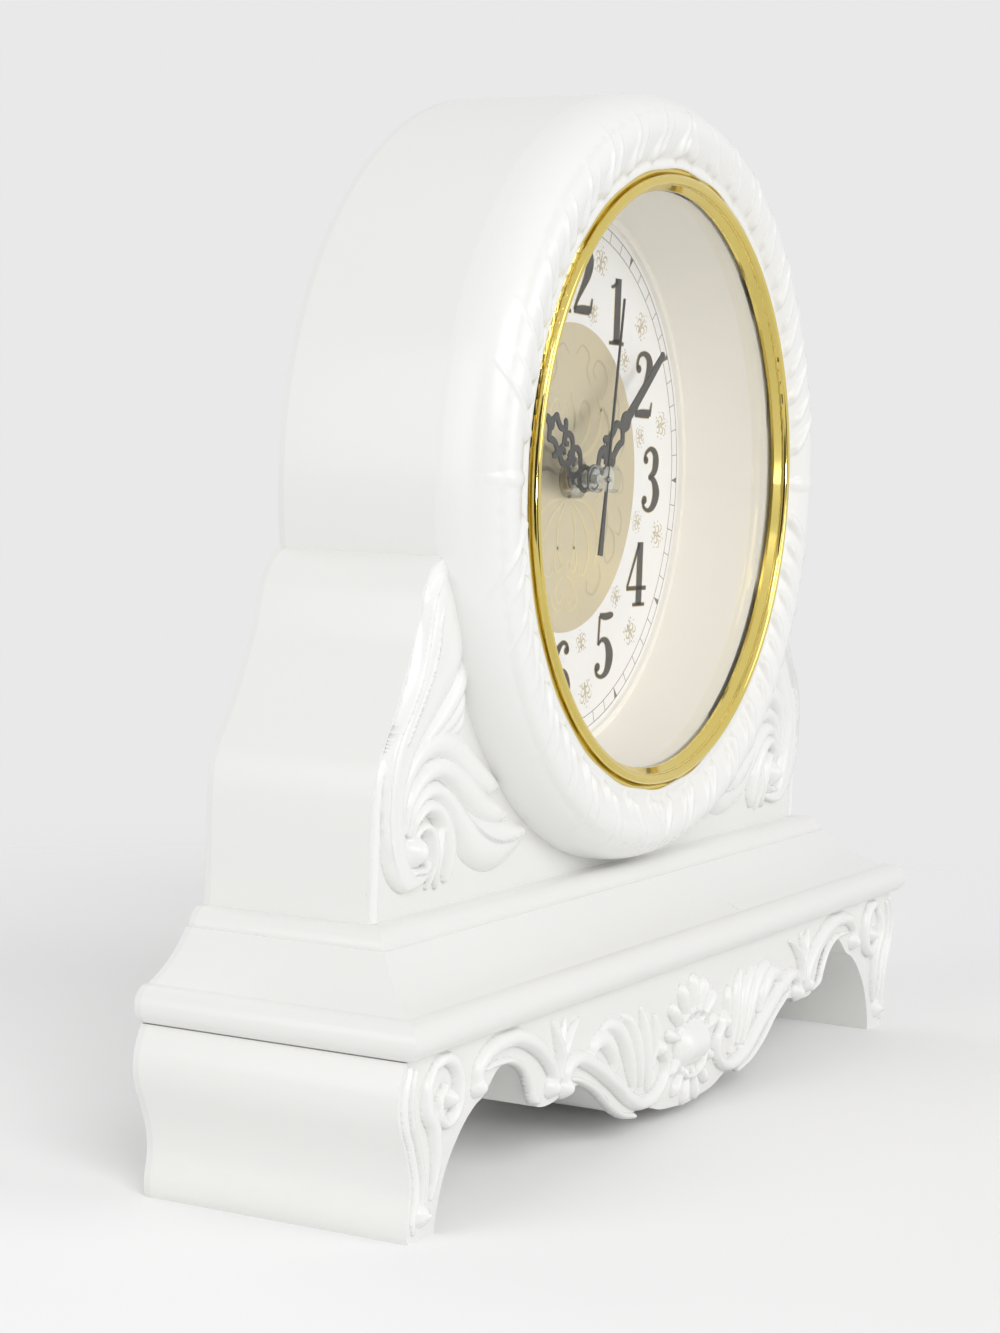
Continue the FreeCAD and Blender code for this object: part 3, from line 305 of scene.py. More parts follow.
def slot_finishes(looks):
    """One finish for each material slot of the record."""
    steel = (0.62, 0.62, 0.63, 1)
    return {
        "white_gloss": case_finish("white_gloss", looks.case_white, looks.case_gloss),
        "white_cover": case_finish("white_cover", looks.cover_white, looks.case_gloss * 1.25),
        "gold_plated": plating_finish("gold_plated", looks.gold, looks.gold_gloss),
        "clear_glass": pane_finish("clear_glass", (0.99, 0.99, 0.985, 1), 0.01, 0.07),
        "seal": moulded("seal", (0.86, 0.84, 0.79, 1), 0.6, grain=2000.0),
        "cream": moulded("cream", looks.cream, 0.5, grain=1200.0, bump=0.05),
        "dial_white": moulded("dial_white", looks.dial_white, 0.42, grain=1500.0, spread=0.01),
        "champagne": brushed_disc_finish("champagne", looks.champagne),
        "hand_black": moulded("hand_black", looks.ink, 0.33, grain=1800.0, spread=0.2),
        "clear_acrylic": pane_finish("clear_acrylic", (0.93, 0.94, 0.93, 1), 0.04, 0.6),
        "brass_fittings": plating_finish("brass_fittings", (0.62, 0.50, 0.26, 1), 0.22),
        "movement_black": moulded("movement_black", (0.02, 0.02, 0.022, 1), 0.45, bump=0.15),
        "wheel_plastic": moulded("wheel_plastic", (0.80, 0.80, 0.76, 1), 0.4),
        "knob_plastic": moulded("knob_plastic", (0.55, 0.56, 0.57, 1), 0.45),
        "magnet": moulded("magnet", (0.12, 0.12, 0.13, 1), 0.4, metallic=0.7),
        "stator_steel": moulded("stator_steel", steel, 0.35, metallic=1.0, grain=2600.0),
        "bobbin_plastic": moulded("bobbin_plastic", (0.70, 0.69, 0.62, 1), 0.4),
        "copper": plating_finish("copper", (0.72, 0.34, 0.18, 1), 0.3),
        "board": moulded("board", (0.30, 0.20, 0.09, 1), 0.45),
        "chip_black": moulded("chip_black", (0.02, 0.02, 0.02, 1), 0.4),
        "crystal_can": plating_finish("crystal_can", steel, 0.2),
        "cell_jacket": moulded("cell_jacket", (0.10, 0.12, 0.15, 1), 0.28, coat=0.5),
        "contact_steel": plating_finish("contact_steel", steel, 0.25),
        "screw_steel": plating_finish("screw_steel", steel, 0.28),
    }


def dress(piece, material):
    """Gives a piece its finish."""
    piece.data.materials.clear()
    piece.data.materials.append(material)


class CLOCK_OT_finishes(bpy.types.Operator):
    """Give every piece of the frame its finish"""
    bl_idname = "clock.finishes"
    bl_label = "Finishes"

    def execute(self, context):
        finishes = slot_finishes(context.scene.clock_finishes)
        for row in frame["record"]["subparts"]:
            dress(frame["nodes"][row["node"]], finishes[row["material_slot"]])
        return {"FINISHED"}


# Carved relief: strokes with rounded tops on a fine grid


def full_rows(rows):
    """Rows of a table as shares. A short row keeps the last numbers of the row before it."""
    full = list(rows[:1])
    for row in rows[1:]:
        full.append(row + full[-1][len(row):])
    return [tuple(value / 1000 for value in row) for row in full]


def smooth_line(rows, samples=7):
    """Curve through rows of numbers, with a few samples between each two rows."""
    rows = np.array(rows, float)
    ends = np.vstack([2 * rows[0] - rows[1], rows, 2 * rows[-1] - rows[-2]])
    points = []
    for index in range(len(rows) - 1):
        a, b, c, d = ends[index:index + 4]
        for step in range(samples):
            t = step / samples
            points.append(0.5 * ((2 * b) + (c - a) * t + (2 * a - 5 * b + 4 * c - d) * t * t
                                 + (3 * b - a - 3 * c + d) * t ** 3))
    points.append(rows[-1])
    return np.array(points)


def stroke_heights(across, up, stroke, floor):
    """Heights of one carved stroke over points, and a floor level away from it.

    A stroke is its power, its dish and its rows of place across, place up, half width and height.
    """
    power, dish, rows = stroke
    line = smooth_line(rows)
    reach = stroke_reach_share * line[:, 2].max()
    heights = np.full(across.shape, floor)
    near = ((across > line[:, 0].min() - reach) & (across < line[:, 0].max() + reach)
            & (up > line[:, 1].min() - reach) & (up < line[:, 1].max() + reach))
    if not near.any():
        return heights
    points = np.stack([across[near], up[near]], 1)
    start, end = line[:-1, :2], line[1:, :2]
    run = end - start
    length = np.maximum((run ** 2).sum(1), 1e-12)
    offset = points[:, None, :] - start[None]
    t = np.clip((offset * run[None]).sum(2) / length, 0, 1)
    gap = np.sqrt(((offset - t[..., None] * run[None]) ** 2).sum(2))
    half = line[:-1, 2] + t * (line[1:, 2] - line[:-1, 2])
    top = line[:-1, 3] + t * (line[1:, 3] - line[:-1, 3])
    share = gap / np.maximum(half, 1e-6)
    best = np.argmin(share, 1)
    pick = np.arange(len(points))
    q = share[pick, best]
    crown = 1 - np.minimum(q, crown_limit_share) ** power - dish * np.maximum(1 - q * q, 0) ** 2
    heights[near] = np.maximum(top[pick, best] * crown, floor)
    return heights


def relief_heights(across, up, strokes, floor):
    """Highest stroke over each point."""
    heights = np.full(across.shape, floor)
    for stroke in strokes:
        heights = np.maximum(heights, stroke_heights(across, up, stroke, floor))
    return heights


def deselect():
    """Clears the selection before a primitive or a modifier is added."""
    if bpy.context.object and bpy.context.object.mode != "OBJECT":
        bpy.ops.object.mode_set(mode="OBJECT")
    bpy.ops.object.select_all(action="DESELECT")


def set_points(piece, points):
    """Moves the points of a mesh."""
    piece.data.vertices.foreach_set("co", np.asarray(points, np.float32).ravel())
    piece.data.update()


def close_back(piece, gone, back_y):
    """Removes the points of a sheet that a mask names, and closes the rest with a flat back."""
    shape = bmesh.new()
    shape.from_mesh(piece.data)
    shape.verts.ensure_lookup_table()
    bmesh.ops.delete(shape, geom=[shape.verts[i] for i in np.flatnonzero(gone)], context="VERTS")
    loose = [vert for vert in shape.verts if not vert.link_faces]
    bmesh.ops.delete(shape, geom=loose, context="VERTS")
    grown = bmesh.ops.extrude_face_region(shape, geom=list(shape.faces), use_keep_orig=True)
    for part in grown["geom"]:
        if isinstance(part, bmesh.types.BMVert):
            part.co.y = back_y
    bmesh.ops.recalc_face_normals(shape, faces=list(shape.faces))
    shape.to_mesh(piece.data)
    shape.free()


def apply_modifier(piece, kind, **settings):
    """Adds a modifier, sets it up and applies it."""
    deselect()
    piece.select_set(True)
    bpy.context.view_layer.objects.active = piece
    modifier = piece.modifiers.new(kind.title(), kind)
    for name, value in settings.items():
        setattr(modifier, name, value)
    bpy.ops.object.modifier_apply(modifier=modifier.name)


def shade_smooth(piece):
    """Smooth shading over a whole piece."""
    piece.data.polygons.foreach_set("use_smooth", [True] * len(piece.data.polygons))
    piece.data.update()


def finish_piece(piece, name, body, slot, nodes=(), material=None):
    """Names a piece, gives it its finish or that of its slot, ties it to its body, and hides its CAD nodes.
    """
    piece.name = name
    piece.data.name = name
    dress(piece, material or bpy.data.materials[slot])
    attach(piece, body)
    if nodes:
        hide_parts(*nodes)


def carved_sheet(low, high, front_y, strokes, carving):
    """Skin with carved strokes on an upright front face, from a grid primitive."""
    deselect()
    columns = max(int((high[0] - low[0]) / carving.grid_step), 2)
    rows = max(int((high[1] - low[1]) / carving.grid_step), 2)
    bpy.ops.mesh.primitive_grid_add(x_subdivisions=columns, y_subdivisions=rows, size=1)
    piece = bpy.context.object
    flat = np.empty(len(piece.data.vertices) * 3, np.float32)
    piece.data.vertices.foreach_get("co", flat)
    flat = flat.reshape(-1, 3).astype(float)
    across = low[0] + (flat[:, 0] + 0.5) * (high[0] - low[0])
    up = low[1] + (flat[:, 1] + 0.5) * (high[1] - low[1])
    heights = relief_heights(across, up, strokes, -carving.sink)
    set_points(piece, np.stack([across, front_y - heights, up], 1))
    close_back(piece, heights <= -carving.sink * cut_share, front_y + carving.sink * back_share)
    shade_smooth(piece)
    return piece


def scaled_strokes(table, side, unit, floor_z):
    """Strokes of a table in metres, on the right or, mirrored, on the left."""
    strokes = []
    for power, dish, rows in table:
        strokes.append((power, dish, [(side * x * unit, floor_z + z * unit, half * unit, top * unit)
                                      for x, z, half, top in full_rows(rows)]))
    return strokes


# Tables of carved strokes. Each stroke is the power of its rounding, its dish, and its rows of place across
# from the middle, place up, half width and height. On the shoulders they are thousandths of the height from
# the plinth to the middle of the dial, on the apron and the feet thousandths of the base's height. A short
# row keeps the last numbers of the row before it.
shoulder_strokes = [
    (2, 0, ((945, 820, 10.5, 7.9), (1024, 744, 12.5, 10.5), (1046, 665, 12.5, 11.2), (1064, 583),
        (1107, 508), (1159, 423), (1216, 344), (1231, 275), (1232, 186), (1231, 81), (1231, -4))),
    (3.4, 0.18, ((950, 770, 40, 17.1), (955, 725, 80, 27.6), (950, 660, 106, 34), (980, 590, 104, 36.5),
        (1030, 522, 82, 37.2), (1093, 449, 61, 36.7), (1146, 373, 52.5, 35.4), (1175, 298, 47.2, 34.1),
        (1174, 219, 47.2, 32.8), (1154, 140, 48.6, 31.5), (1115, 89, 35.4, 30.2), (1062, 76, 18.4, 26.2),
        (1013, 83, 10.5, 19.7))),
    (2, 0, ((985, 774, 7.9, 23.6), (1034, 715, 8.5, 30.2), (1056, 635, 8.5, 32.8), (1087, 546, 8.5, 34.1),
        (1136, 469), (1188, 402, 8.5, 32.8), (1211, 329, 8.5, 31.5), (1215, 244, 8.5, 30.2),
        (1198, 160, 8.5, 28.9), (1158, 97, 7.9, 26.2))),
    (2, 0, ((982, 711, 5.2, 26.2), (1006, 665, 6.6, 34.1), (1019, 606, 6.6, 36.7), (1050, 541, 6.6, 38.1),
        (1099, 469, 5.9, 38.7), (1149, 396, 5.2, 36.7))),
    (2, 0, ((882, 580, 21, 18.4), (879, 528, 35.4, 25.6), (923, 478, 36.7, 27.6), (991, 426, 27.6, 24.9),
        (1065, 380, 13.1, 17.1))),
    (2, 0, ((867, 508, 19.7, 14.4), (876, 465, 30.2, 19.7), (935, 426, 30.2, 22.3),
        (1016, 395, 19.7, 19.7))),
    (2, 0, ((851, 452, 14.4, 10.5), (879, 419, 22.3, 15.7), (947, 400, 21, 18.4))),
    (2.2, 0.25, ((1130, 186, 10.5, 15.7), (1130, 259, 19.7, 24.9), (1105, 327, 24.9, 32.8),
        (1050, 371, 30.2, 38.1), (966, 385, 38.1, 40.7), (882, 357, 43.3, 39.4), (796, 306, 42, 35.4),
        (721, 272, 31.5, 28.9), (678, 262, 14.4, 19.7))),
    (2.2, 0.22, ((1109, 193, 9.8, 15.7), (1099, 252, 17.1, 26.2), (1056, 303, 22.3, 32.8),
        (988, 328, 27.6, 38.1), (910, 311, 32.8, 40.7), (833, 268, 38.1, 39.4), (746, 219, 38.1, 34.1),
        (675, 195, 28.9, 27.6), (630, 188, 13.1, 18.4))),
    (2.2, 0.16, ((1090, 186, 9.2, 15.7), (1081, 236, 15.7, 26.2), (1037, 273, 19.7, 32.8),
        (978, 276, 24.9, 38.1), (923, 245, 31.5, 40.7), (861, 193, 43.3, 42), (786, 142, 60.4, 43.3),
        (693, 118, 63, 40.7), (604, 125, 43.3, 32.8), (541, 135, 19.7, 22.3))),
    (2, 0, ((885, 236, 6.6, 30.2), (817, 178, 7.9, 40.7), (731, 140, 8.5, 45.9), (636, 129, 7.9, 40.7),
        (564, 134, 6.6, 27.6))),
    (2.2, 0.1, ((1081, 173, 7.9, 15.7), (1068, 216, 14.4, 26.2), (1019, 243, 19.7, 32.8),
        (960, 219, 27.6, 38.1), (920, 157, 31.5, 36.7), (910, 98, 22.3, 28.9), (916, 59, 6.6, 15.7))),
    (2.2, 0.1, ((954, 193, 17.1, 28.9), (967, 127, 22.3, 31.5), (962, 72, 10.5, 19.7),
        (957, 47, 5.2, 10.5))),
    (2.2, 0, ((1065, 173, 7.9, 15.7), (1040, 198, 13.1, 26.2), (1006, 184, 18.4, 32.8),
        (987, 127, 19.7, 31.5), (992, 79, 11.8, 21), (1001, 52, 5.2, 11.8))),
    (2, 0, ((1065, 143, 39.4, 43.3), (1063, 146))),
    (2, 0, ((1081, 98, 9.8, 27.6), (1031, 98, 9.8, 30.2), (1011, 117, 7.9, 24.9))),
]
apron_strokes = [
    (2.6, 0.12, ((2907, 742, 55.6, 58.8), (2913, 825, 52.3, 55.6), (2819, 902, 52.3, 62.1),
        (2650, 936, 55.6, 68.6), (2453, 931, 58.8, 71.9), (2243, 853), (2080, 745, 55.6, 68.6),
        (1980, 627, 52.3, 65.4), (1989, 549, 52.3, 62.1))),
    (2, 0, ((2913, 727, 65.4, 75.2), (2910, 735))),
    (2, 0, ((2003, 554, 68.6, 78.4), (2000, 560))),
    (2, 0, ((2810, 809, 16.3, 26.1), (2670, 820, 22.9, 35.9), (2523, 807, 24.5, 39.2), (2382, 740),
        (2288, 626), (2245, 534, 22.9, 32.7), (2141, 497, 19.6, 26.1))),
    (2.6, 0.12, ((1828, 515, 49, 55.6), (1812, 621, 52.3, 62.1), (1699, 670, 52.3, 68.6),
        (1556, 636, 55.6, 71.9), (1376, 556, 58.8, 75.2), (1136, 420), (928, 289, 55.6, 71.9),
        (743, 224, 52.3, 68.6), (564, 234, 49), (435, 314, 45.8, 65.4), (408, 428, 42.5), (487, 520))),
    (2, 0, ((1824, 520, 68.6, 78.4), (1820, 526))),
    (2, 0, ((516, 529, 63.7, 81.7), (513, 533))),
    (2, 0, ((1699, 547, 16.3, 26.1), (1592, 516, 22.9, 35.9), (1399, 425, 24.5, 39.2), (1196, 289),
        (997, 196, 22.9, 35.9), (817, 154, 19.6, 29.4))),
    (2, 0, ((1902, 605, 35.9, 49), (1899, 735, 42.5, 58.8), (1961, 874, 32.7, 45.8),
        (2000, 940, 16.3, 26.1))),
    (2, 0, ((1902, 654, 32.7, 49), (1840, 776, 39.2, 55.6), (1740, 866, 29.4, 42.5),
        (1658, 907, 14.7, 26.1))),
    (2, 0, ((1902, 654, 26.1, 49), (1899, 801, 32.7, 52.3), (1856, 931, 16.3, 29.4))),
    (2.2, 0.15, ((1479, 629, 32.7, 42.5), (1438, 711, 55.6, 62.1), (1307, 719, 68.6, 68.6),
        (1193, 629, 62.1), (1137, 515, 35.9, 49))),
    (2.2, 0.15, ((1324, 792, 26.1, 32.7), (1217, 794, 52.3, 55.6), (1087, 732, 65.4, 68.6),
        (977, 596, 62.1, 71.9), (905, 449, 49, 62.1), (856, 335, 26.1, 42.5))),
    (2.2, 0.15, ((1038, 817, 26.1, 32.7), (948, 771, 49, 55.6), (859, 654, 62.1, 68.6), (804, 507, 55.6),
        (765, 351, 29.4, 45.8))),
    (2.2, 0.12, ((784, 825, 22.9, 32.7), (732, 719, 49, 58.8), (696, 572, 55.6, 68.6),
        (673, 417, 42.5, 58.8), (650, 302, 22.9, 39.2))),
    (2, 0, ((580, 743, 22.9, 35.9), (559, 662, 39.2, 55.6), (575, 556, 32.7, 52.3),
        (618, 425, 22.9, 39.2))),
    (2.1, 0.14, ((78, 640, 26.1, 39.2), (130, 753, 52.3, 65.4), (165, 827, 57.5, 68.6),
        (183, 865, 23.5, 39.2))),
    (2.1, 0.14, ((142, 596, 24.5, 39.2), (238, 678, 49, 65.4), (302, 733, 53.9, 68.6),
        (334, 760, 22.1, 39.2))),
    (2.1, 0.14, ((182, 530, 21.2, 39.2), (281, 561, 42.5, 65.4), (339, 579, 46.7, 68.6),
        (380, 591, 19.1, 39.2))),
    (2.1, 0.14, ((46, 297, 21.2, 35.9), (73, 197, 42.5, 58.8), (88, 137, 44.6, 62.1),
        (99, 97, 19.1, 35.9))),
    (2.1, 0.14, ((123, 334, 22.9, 35.9), (190, 258, 45.8, 58.8), (229, 214, 48, 62.1),
        (257, 182, 20.6, 35.9))),
    (2.1, 0.14, ((175, 400, 19.6, 35.9), (259, 364, 39.2, 58.8), (303, 346, 41.2, 62.1),
        (343, 329, 17.6, 35.9))),
]
apron_middle_strokes = [
    (2, 0, ((-101, 474, 153.6, 104.6), (101, 474))),
    (2, 0, ((-242, 474, 21.2, 39.2), (-190, 621, 21.2, 49), (-72, 680, 21.2, 52.3), (72, 680),
        (190, 621, 21.2, 49), (242, 474, 21.2, 39.2), (190, 327, 21.2, 49), (72, 268, 21.2, 52.3),
        (-72, 268), (-190, 327, 21.2, 49), (-242, 474, 21.2, 39.2))),
    (2.1, 0.14, ((0, 656, 27.8, 39.2), (0, 783, 55.6, 65.4), (0, 869, 61.1, 68.6), (0, 910, 25, 39.2))),
]
foot_strokes = [
    (2, 0, ((3672, 956, 22.9, 29.4), (3715, 863, 24.5, 35.9), (3726, 771), (3702, 654), (3640, 523),
        (3587, 379), (3571, 248), (3591, 134, 22.9, 29.4), (3578, 56, 16.3, 19.6))),
    (2, 0, ((3611, 940, 19.6, 26.1), (3647, 853, 21.2, 32.7), (3654, 768), (3627, 660), (3567, 533),
        (3516, 392), (3500, 261, 19.6, 29.4), (3511, 155, 16.3, 19.6))),
    (2.4, 0.2, ((3408, 923, 32.7, 39.2), (3487, 824, 49, 58.8), (3480, 699, 52.3, 65.4),
        (3405, 595, 55.6, 68.6), (3369, 458, 49, 62.1), (3373, 327, 35.9, 49), (3399, 212, 19.6, 29.4))),
    (2.4, 0.15, ((3408, 928, 32.7, 39.2), (3292, 958, 45.8, 58.8), (3180, 892, 49, 65.4),
        (3141, 768, 49, 68.6), (3176, 647, 45.8), (3275, 598, 39.2, 65.4), (3353, 654, 35.9, 62.1),
        (3359, 745, 29.4, 55.6), (3297, 807, 26.1, 52.3))),
    (2, 0, ((3261, 732, 58.8, 88.2), (3261, 739))),
    (2, 0, ((3493, 134, 68.6, 55.6), (3490, 137))),
    (2, 0, ((3493, 137, 31, 75.2), (3490, 141))),
]

# Borders of the carved sheets, as shares of the same heights
shoulder_inner_share = 0.45
shoulder_outer_share = 1.27
shoulder_top_share = 0.86
apron_reach_share = 3.1
foot_inner_share = 2.9
foot_outer_share = 3.82
base_top_share = 0.985

# Reach and rounding of a carved stroke, as shares of its half width, and the cut and the back of a carved
# sheet, as shares of its sink
stroke_reach_share = 1.5
crown_limit_share = 1.6
cut_share = 0.999
back_share = 1.5

# The rim. Its crest, rounding, edge, tail, tips and skin are shares of the drum's radius, its bow is a share
# of the slope's length, and the reach of its carving is a share of its middle radius. The rounding turns
# through an angle in degrees. The wave, the fade and the drop are shares of the tips and of the tail.
rim_crest_share = 0.0867
rim_round_share = 0.136
rim_edge_share = 0.0387
rim_bow_share = 0.054
rim_turn = 98
rim_turn_points = 61
rim_bow_points = 24
wreath_columns = 1240
wreath_rows = 66
wreath_back_rows = 8
tip_rise_share = 0.016
tip_drop_share = 0.35
wave_count = 22
wave_base_share = 0.62
rim_reach_share = 0.245
tail_share = 0.045
tail_fade_share = 0.6
tip_share = 0.009
skin_share = 0.0009
under_share = 0.0045

# Leaves of a quarter of the rim, and the sprays at the sides. Their rows are the slip along the rim, the
# place out from the ring, the half width and the height. Heights are shares of the relief, a leaf's places
# out are shares of the reach of the carving, and all other lengths are shares of the rim's middle radius.
leaf_count = 9
leaf_offset_share = 0.62
leaf_slant = 1.6
leaf_slant_loss = 0.9
leaf_group_shares = (1.0, 0.90, 0.82, 0.94, 0.87)
leaf_width_share = 0.6
leaf_rows_shares = (
    ((0.000, 0.090, 0.0130, 0.50), (0.010, 0.160, 0.0230, 1.15), (0.024, 0.270, 0.0215, 0.92),
     (0.048, 0.430, 0.0110, 0.48), (0.080, 0.650, 0.0070, 0.32), (0.112, 0.880, 0.0045, 0.06)),
    ((0.060, 0.150, 0.0095, 0.35), (0.070, 0.220, 0.0155, 0.80), (0.085, 0.330, 0.0130, 0.56),
     (0.112, 0.510, 0.0070, 0.28), (0.136, 0.700, 0.0040, 0.06)),
)
spray_rows_shares = (
    ((0.000, 0.024, 0.0160, 0.25), (0.000, 0.060, 0.0250, 0.52), (0.000, 0.110, 0.0220, 0.42),
     (0.000, 0.170, 0.0150, 0.20), (0.000, 0.230, 0.0080, 0.03)),
)

# Digits. The strokes are rows of place across, place up and half width, and the dots are place across,
# place up and radius, all in thousandths of the digit's height.
digit_rows = {
    "0": ([[(270, 985, 18), (130, 840, 60), (75, 500, 78), (130, 160, 60), (270, 15, 18), (410, 160, 60),
          (465, 500, 78), (410, 840, 60), (270, 985, 18)]], []),
    "1": ([[(250, 10, 68), (250, 500), (250, 985)], [(230, 960, 30), (170, 880, 24), (70, 845, 14)],
          [(60, 20, 20), (250, 22, 22), (440, 20, 20)], [(150, 45, 10), (250, 55, 30), (350, 45, 10)]], []),
    "2": ([[(85, 730, 30), (75, 830, 24), (130, 940, 26), (250, 975, 34), (370, 910, 60), (410, 760, 76),
          (360, 580, 70), (250, 390, 45), (130, 200, 26), (60, 50, 20)], [(50, 50, 40), (250, 60, 58),
          (440, 60)], [(440, 30, 34), (470, 120, 22), (495, 240, 10)]], [(118, 735, 58)]),
    "3": ([[(75, 800, 26), (110, 910, 24), (230, 975, 30), (350, 910, 56), (385, 770, 70), (340, 620, 55),
          (200, 535, 18)], [(200, 535, 18), (340, 485, 50), (420, 290, 80), (350, 100, 58), (220, 25, 28),
          (100, 70, 24), (60, 180, 26)]], [(112, 800, 56), (105, 185, 62)]),
    "4": ([[(360, 10, 66), (360, 500), (360, 985)], [(330, 960, 26), (180, 620, 20), (35, 290, 18)],
          [(20, 275, 26), (280, 275), (550, 275)], [(200, 20, 20), (360, 22, 22), (520, 20, 20)]], []),
    "5": ([[(120, 955, 30), (270, 935, 46), (420, 955, 40), (455, 985, 16)], [(125, 950, 18), (115, 720),
          (105, 510)], [(105, 510, 18), (200, 585, 26), (330, 540, 52), (410, 340, 80), (360, 120, 60),
          (230, 25, 28), (100, 60, 24), (60, 170, 26)]], [(105, 175, 62)]),
    "6": ([[(430, 860, 24), (400, 950), (290, 980, 30), (160, 840, 56), (90, 600, 74), (85, 340, 78),
          (140, 110, 56), (270, 20, 24), (390, 120, 56), (435, 310, 74), (390, 500, 52), (280, 575, 26),
          (160, 500, 22)]], [(400, 865, 56)]),
    "7": ([[(50, 945, 50), (270, 945, 52), (470, 945, 40)], [(55, 970, 20), (50, 850, 18), (35, 740, 10)],
          [(465, 950, 22), (350, 680, 34), (250, 380, 60), (215, 10, 78)]], []),
    "8": ([[(270, 985, 20), (150, 910, 50), (120, 770, 64), (200, 620, 66), (330, 480, 70), (420, 330, 74),
          (420, 170, 66), (270, 18, 22), (110, 90, 34), (75, 240, 32), (150, 410, 24), (300, 550, 22),
          (390, 680, 26), (410, 800, 28), (360, 930, 26), (270, 985, 20)]], []),
}
digit_width_share = 0.54
odd_width_shares = {"1": 0.46, "4": 0.58}
digit_stretch_share = 1.33
digit_bold_share = 1.1
digit_edge_share = 0.012

# Steps of the dial in degrees, points of a dot and of a strip, and shares of the minute track. Its lines and
# wedges are shares of its width, the printed margin and the places of the sprigs are shares of its radius.
hour_step = 30
minute_step = 6
ring_step = 3
dot_points = 20
strip_samples = 6
track_line_share = 0.028
wedge_shares = [(0, 0.05, 0.02), (0, 0.5, 0.13), (0, 1, 0.26)]
margin_share = 0.0125
margin_ring_share = 1.0885
sprig_outer_share = 0.905
sprig_inner_share = 0.685
sprig_small_share = 0.8

# A sprig: its strokes and its dots, in thousandths of the height of the numbers
sprig_rows = [
    [(0, -170, 8), (20, -60, 14), (10, 50, 10), (0, 160, 4)],
    [(10, -120, 6), (60, -80, 14), (100, -130, 12), (70, -190, 6)],
    [(20, -20, 6), (80, 30, 16), (140, -10, 13), (120, -80, 6)],
    [(50, 50, 5), (110, 110, 13), (170, 100, 10), (190, 30, 4)],
]
sprig_dots = [(55, 150, 16), (150, -160, 18), (210, -50, 14), (0, 220, 12)]

# Damask on the disc: rows of place across, place up and half width, in thousandths of its radius
damask_light_rows = [
    [(30, -160, 4), (100, -260, 14), (130, -380, 12), (100, -500, 8), (50, -580, 3)],
    [(50, -150, 4), (200, -240, 14), (310, -380, 16), (330, -520, 12), (270, -630, 6), (200, -620),
        (190, -550)],
    [(70, -130, 4), (280, -170, 16), (430, -300, 20), (470, -450, 14), (420, -570, 8)],
    [(60, -420, 4), (140, -470, 10), (160, -550), (110, -610, 8), (60, -560, 6), (80, -510, 5)],
    [(20, -630, 4), (100, -680, 10), (130, -760), (70, -810, 8), (30, -760, 6)],
    [(0, -820, 4), (90, -860, 10), (170, -820), (200, -740, 6)],
    [(50, 150, 4), (180, 220, 14), (280, 340, 16), (270, 460, 12), (190, 500, 8), (140, 430, 6),
        (180, 380, 5)],
    [(80, 130, 4), (280, 170, 16), (420, 290, 20), (450, 430, 14), (380, 540, 8)],
    [(160, 20, 4), (300, 60, 14), (420, 30), (480, -60, 10), (430, -140, 6), (370, -100, 5)],
    [(0, 200, 4), (50, 300, 12), (60, 420, 10), (0, 550, 4)],
]
damask_dark_rows = [
    [(500, 100, 3), (580, 220, 12), (570, 360, 14), (480, 460, 10), (410, 420, 6)],
    [(560, 300, 3), (680, 360, 12), (720, 470, 10), (660, 550, 6), (600, 500, 5)],
    [(450, 520, 3), (520, 620, 12), (480, 730), (370, 770, 8), (310, 700, 5), (360, 650, 4)],
    [(280, 600, 3), (220, 700, 10), (240, 800), (140, 860, 6), (50, 800, 4)],
    [(520, -120, 3), (600, -240, 12), (580, -380, 14), (510, -470, 8)],
    [(600, -300, 3), (710, -380, 12), (710, -500, 10), (620, -560, 6), (570, -500, 5)],
    [(500, -560, 3), (520, -670, 12), (430, -760), (330, -740, 6), (330, -670, 5)],
    [(600, 20, 3), (700, 80, 12), (800, 30, 10), (820, -70, 6), (750, -100, 5)],
    [(760, 140, 3), (820, 240, 10), (790, 340, 8), (730, 320, 4)],
    [(760, -180, 3), (820, -270, 10), (790, -370, 8), (730, -350, 4)],
]

# Pierced hands: their turns in degrees from twelve, their lengths, and their rows of place across, place
# along and half width, in thousandths of the length
hand_voxel_share = 0.0042
hand_bold_share = 1.45
minute_hand_turn = 50.0
hour_hand_turn = 304.2
minute_hand_length = 81.4 * MM
hour_hand_length = 45 * MM
minute_hand_rows = [
    [(0, -52, 12), (40, -30), (52, 10), (35, 45), (4, 58)],
    [(4, 62, 12), (30, 92, 13), (54, 135, 14), (46, 178, 13), (22, 186, 11), (14, 160, 10), (28, 146)],
    [(0, 170, 12), (22, 205), (30, 235, 11)],
    [(10, 212, 11), (52, 232, 14), (74, 222, 13), (78, 196, 10)],
    [(54, 236, 13), (46, 290, 14), (50, 335), (58, 362, 12), (34, 382, 13), (6, 402, 14)],
    [(0, 392, 20), (20, 425, 16), (30, 455, 15), (14, 486, 16), (0, 500, 18)],
    [(0, 405, 22), (0, 600, 20), (0, 820, 18), (0, 985, 14)],
]
minute_hand_dots = [(0, 985, 17), (0, 455, 34)]
hour_hand_rows = [
    [(0, -98, 20), (70, -70), (98, 0), (70, 70), (0, 98)],
    [(10, 105, 18), (60, 150, 19), (120, 215, 22), (125, 290, 21), (75, 335, 19), (22, 300, 17),
        (30, 240, 15)],
    [(0, 300, 20), (0, 345, 22), (0, 400)],
    [(15, 350, 18), (85, 365, 20), (140, 430, 22), (125, 510, 21), (65, 540, 19), (30, 490, 16),
        (60, 450, 15)],
    [(10, 530, 18), (90, 560, 21), (170, 600), (190, 640, 14)],
    [(120, 580, 20), (85, 660, 21), (100, 740, 22), (125, 790, 18), (65, 815, 21), (10, 860, 24)],
    [(0, 840, 34), (0, 920, 26), (0, 995, 8)],
]
hour_hand_dots = [(0, 830, 40)]


